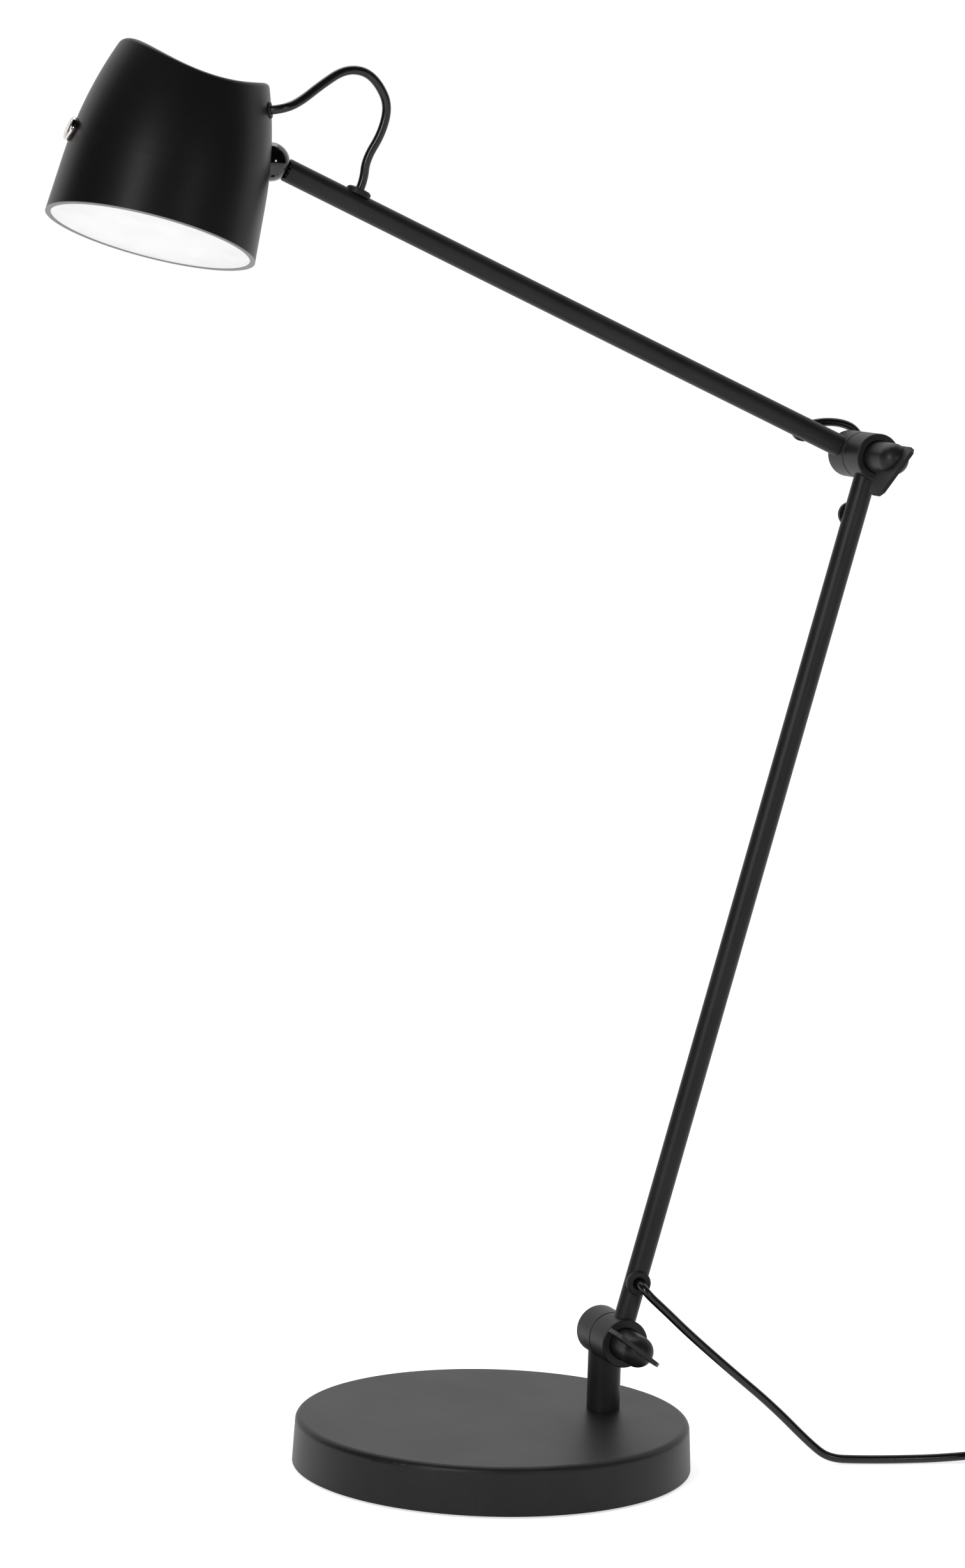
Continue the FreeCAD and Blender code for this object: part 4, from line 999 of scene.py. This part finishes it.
@dataclass
class MainsCord(SubAssembly):
    """The cord to the table, its stored coil with the strap, and the plug."""

    wear: dict[Finish, tuple[str, ...]] = field(
        default_factory=lambda: {TIE_STRAP: ("cord_tie",), BRASS: ("plug_pins",)}
    )
    coil: StoredCoil = field(default_factory=StoredCoil)
    arm_mouth: float = 0.0331
    plug_back: Point = (0.333, -0.016, 0.00685)
    pin_offset: float = 0.0095
    sections: tuple[tuple[float, float, float], ...] = (
        (0.0235, 0.0052, 0.0046), (0.0245, 0.0066, 0.0056), (0.0275, 0.0102, 0.0064),
        (0.0325, 0.0126, 0.00675), (0.0385, 0.0142, 0.00685), (0.0435, 0.0153, 0.00685),
        (0.0485, 0.0161, 0.00685), (0.0525, 0.0155, 0.00685), (0.0575, 0.0138, 0.0068),
        (0.0592, 0.0131, 0.0065), (0.06, 0.012, 0.0057),
    )
    ribs: tuple[float, ...] = (0.0405, 0.0435, 0.0465, 0.0495)
    rib_half_width: float = 0.0008
    rib_depth: float = 0.06
    body_steps: int = 48
    body_sections: int = 72
    round_steps: int = 32
    relief_rings: int = 6
    relief_pitch: float = 0.004
    sleeve: tuple[tuple[float, float], ...] = (
        (0.0595, 0.0), (0.0595, 0.0021), (0.0697, 0.0019), (0.07, 0.0017), (0.07, 0.0)
    )

    def build(self) -> None:
        """Lay the cord, then mould the plug on its end."""
        self.dress()
        plug = self.plug()
        self.cord(plug)

    def cord(self, plug: bpy.types.Object) -> None:
        """Lay the cord in one piece from the lower arm to the plug."""
        front = -98.0
        down = [
            LOWER_TUBE.mouth(self.arm_mouth, front), LOWER_TUBE.mouth(self.arm_mouth, front, 0.0051),
            *through(
                (0.0736, -0.0354, 0.0964), (0.083, -0.0364, 0.0878), (0.0972, -0.0368, 0.0743),
                (0.1201, -0.0389, 0.0542), (0.1458, -0.0415, 0.0326), (0.1676, -0.046, 0.0105),
                (0.1775, -0.049, 0.0029), (0.193, -0.0535, 0.0024), (0.214, -0.059, 0.0024),
                (0.237, -0.0635, 0.0026), (0.260, -0.066, 0.0036),
            ),
        ]
        tail = through(
            (0.298, -0.066, 0.0189), (0.313, -0.0625, 0.0174), (0.325, -0.053, 0.0136),
            (0.3316, -0.040, 0.0094), (0.333, -0.0275, 0.00685), self.plug_back,
        )
        Sheath(
            "mains_cable", down + self.coil.places() + tail, 1.815, ("mains_cord", "cord_coil", "cord_tail"),
            ("lower_arm", "base"), (down[2], down[8]), Lay.COILED, FarEnd.PLUG,
            ("cord_tie", "plug_pins", plug.name),
        ).lay_out(self, CORD_SHEATH)

    def plug(self) -> bpy.types.Object:
        """Mould the plug: a waisted body with finger ribs, a slotted strain relief and two pin sleeves.

        Returns:
            The plug's piece.
        """
        shape = bmesh.new()
        self._body(shape)
        self._relief(shape)
        for across in (-self.pin_offset, self.pin_offset):
            Turning((across, 0.0, 0.0), PLUG_WAY, self.sleeve, self.round_steps).add_to(shape)
        shape.transform(Matrix.Translation(self.plug_back))
        return self.rigid_piece("plug_moulding", shape, CORD_SHEATH, "base", "plug_body")

    def _body(self, shape: bmesh.types.BMesh) -> None:
        """Loft the body from rounded sections along the plug, with ribs pressed into its two sides."""
        rows = []
        for along in self._stations():
            half_width, half_height = self._half_sizes(along)
            groove = max(0.0, 1 - min(abs(along - rib) for rib in self.ribs) / self.rib_half_width)
            row = []
            for step in range(self.body_steps):
                angle = 2 * math.pi * step / self.body_steps
                across, up = math.cos(angle), math.sin(angle)
                pinch = 1 - self.rib_depth * groove * max(0.0, abs(across) - 0.5) * 2
                squared = (abs(across) ** 4 + abs(up) ** 4) ** -0.25
                side = across * squared * half_width * pinch
                row.append(shape.verts.new((side, along, up * squared * half_height)))
            rows.append(row)
        skin(shape, rows)

    def _stations(self) -> list[float]:
        """Give the places along the body where it has a section."""
        first, last = self.sections[0][0], self.sections[-1][0]
        step = (last - first) / self.body_sections
        return [first + step * number for number in range(self.body_sections + 1)]

    def _half_sizes(self, along: float) -> tuple[float, float]:
        """Find the body's half width and half height at a place along it."""
        for (near, width, height), (far, next_width, next_height) in zip(self.sections, self.sections[1:]):
            if along <= far + 1e-9:
                share = (along - near) / (far - near)
                share = share * share * (3 - 2 * share)
                return width + (next_width - width) * share, height + (next_height - height) * share
        return self.sections[-1][1:]

    def _relief(self, shape: bmesh.types.BMesh) -> None:
        """Turn the tapered strain relief, ringed with grooves so that it bends."""
        profile = [(0.0, 0.0), (0.0, 0.0030)]
        for ring in range(self.relief_rings):
            near = 0.0006 + ring * self.relief_pitch
            outer = 0.0032 + ring * 0.00032
            profile += [
                (near, outer), (near + 0.0026, outer + 0.0002), (near + 0.0029, outer - 0.0004),
                (near + 0.0037, outer - 0.0003),
            ]
        profile += [(0.0246, 0.0052), (0.0246, 0.0)]
        Turning((0.0, 0.0, 0.0), PLUG_WAY, tuple(profile), self.round_steps).add_to(shape)


# ---------------------------------------------------------------- studio


class SeenBy(Enum):
    """Which rays see a studio card."""

    EVERYTHING = "everything"
    REFLECTIONS = "reflections"


@dataclass(frozen=True)
class Softbox:
    """A square or long area light that points at the lamp."""

    name: str
    place: Point
    aim: Point
    width: float
    height: float
    power: float

    def hang(self) -> None:
        """Put the light in the scene."""
        light = bpy.data.lights.new(self.name, "AREA")
        light.shape = "RECTANGLE"
        light.size = self.width
        light.size_y = self.height
        light.energy = self.power
        holder = bpy.data.objects.new(self.name, light)
        holder.location = self.place
        way = Vector(self.aim) - Vector(self.place)
        holder.rotation_euler = way.to_track_quat("-Z", "Y").to_euler()
        bpy.context.scene.collection.objects.link(holder)
        log.info("light %s: %.1f W", self.name, self.power)


@dataclass
class Studio:
    """A plain pale floor, soft lights, the dark room behind the camera, and the camera."""

    fill: float = 0.55
    floor_colour: Colour = (0.8, 0.8, 0.8)
    floor_glow: float = 0.6
    room_span: tuple[float, float] = (-140.0, 84.0)
    room_radius: float = 3.4
    room_foot: float = 0.35
    room_top: float = 4.2
    room_level: float = 0.0
    room_walls: int = 12
    floor_reach: float = 30.0
    floor_drop: float = -0.0003
    camera_place: Point = (-0.92072, -2.31995, 0.67755)
    camera_right: Point = (0.9325, -0.3602, 0.0270)
    camera_up: Point = (0.0193, 0.1244, 0.9921)
    lens: float = 109.218
    lights: tuple[Softbox, ...] = (
        Softbox("front", (0.34, -1.85, 0.88), (-0.1, 0.0, 0.6), 0.3, 0.26, 4.5),
        Softbox("left", (-1.45, -1.3, 1.12), (0.0, 0.0, 0.5), 0.4, 1.1, 20.0),
        Softbox("overhead", (0.1, 0.9, 2.2), (0.0, 0.0, 0.0), 1.4, 1.0, 8.0),
    )

    def build(self) -> None:
        """Make everything round the lamp."""
        self.world()
        self.floor()
        self.dark_room()
        for light in self.lights:
            light.hang()
        self.camera()

    def world(self) -> None:
        """Show white to the camera, to reflections and through glass, and a softer level to the surfaces."""
        world = bpy.data.worlds.new("studio")
        graph = Graph(world)
        white = graph.node("ShaderNodeBackground", {}, {"Color": WHITE, "Strength": 1.0})
        soft = graph.node("ShaderNodeBackground", {}, {"Color": WHITE, "Strength": self.fill})
        either = graph.node("ShaderNodeMixShader", {}, {0: graph.seen_directly(), 1: soft, 2: white})
        graph.node("ShaderNodeOutputWorld", {}, {"Surface": either})
        bpy.context.scene.world = world
        bpy.context.scene.view_settings.view_transform = "Standard"

    def card(self, name: str, corners: list[Point], material: bpy.types.Material, seen_by: SeenBy) -> None:
        """Stand a flat card in the studio.

        Args:
            name: Its name.
            corners: Its corners in order.
            material: Its material.
            seen_by: Whether only reflections see it.
        """
        mesh = bpy.data.meshes.new(name)
        mesh.from_pydata(corners, [], [tuple(range(len(corners)))])
        mesh.materials.append(material)
        card = bpy.data.objects.new(name, mesh)
        if seen_by is SeenBy.REFLECTIONS:
            card.visible_camera = card.visible_diffuse = card.visible_shadow = False
            card.visible_transmission = card.visible_volume_scatter = False
        bpy.context.scene.collection.objects.link(card)

    def floor(self) -> None:
        """Lay a pale floor that looks white and keeps a soft shadow."""
        recipe = Recipe("pale_floor")
        matte = recipe.node("ShaderNodeBsdfDiffuse", {}, {"Color": self.floor_colour})
        lit = recipe.node("ShaderNodeEmission", {}, {"Color": WHITE, "Strength": self.floor_glow})
        both = recipe.node("ShaderNodeAddShader", {}, {0: matte, 1: lit})
        either = recipe.node("ShaderNodeMixShader", {}, {0: recipe.seen_directly(), 1: matte, 2: both})
        recipe.node("ShaderNodeOutputMaterial", {}, {"Surface": either})
        reach, drop = self.floor_reach, self.floor_drop
        corners = [(-reach, -reach, drop), (reach, -reach, drop), (reach, reach, drop), (-reach, reach, drop)]
        self.card("floor", corners, recipe.material, SeenBy.EVERYTHING)

    def dark_room(self) -> None:
        """Stand dark cards where the room behind the camera would be, for the black parts to reflect."""
        recipe = Recipe("dark_room")
        matte = recipe.node("ShaderNodeEmission", {}, {"Color": WHITE, "Strength": self.room_level})
        recipe.node("ShaderNodeOutputMaterial", {}, {"Surface": matte})
        first, last = (math.radians(angle) for angle in self.room_span)
        turns = [first + (last - first) * step / self.room_walls for step in range(self.room_walls + 1)]
        foot = [(math.sin(a) * self.room_radius, -math.cos(a) * self.room_radius) for a in turns]
        for number, (one, other) in enumerate(zip(foot, foot[1:])):
            low = [(*spot, self.room_foot) for spot in (one, other)]
            high = [(*spot, self.room_top) for spot in (other, one)]
            self.card(f"dark_wall_{number}", low + high, recipe.material, SeenBy.REFLECTIONS)
        ceiling = [(*spot, self.room_top) for spot in foot]
        self.card("dark_ceiling", ceiling, recipe.material, SeenBy.REFLECTIONS)

    def camera(self) -> None:
        """Set the camera up as the photograph was taken."""
        right, up = Vector(self.camera_right).normalized(), Vector(self.camera_up)
        back = right.cross(up).normalized()
        up = back.cross(right)
        camera = bpy.data.objects.new("camera", bpy.data.cameras.new("camera"))
        camera.data.lens = self.lens
        turn = Matrix((right, up, back)).transposed().to_4x4()
        camera.matrix_world = Matrix.Translation(self.camera_place) @ turn
        bpy.context.scene.collection.objects.link(camera)
        bpy.context.scene.camera = camera


def main() -> None:
    """Load the model, dress it, and add the cords and the studio."""
    logging.basicConfig(level=logging.INFO, format="%(message)s")
    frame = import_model()
    shelf: dict[Finish, bpy.types.Material] = {}
    Studio().build()
    for assembly in (MainsCord, Leads, WeightedBase, LowerArm, UpperArm, WingKnobs, BallJoint, Head):
        assembly(frame, shelf).build()
        log.info("%s is ready", assembly.__name__)


if __name__ == "__main__":
    main()
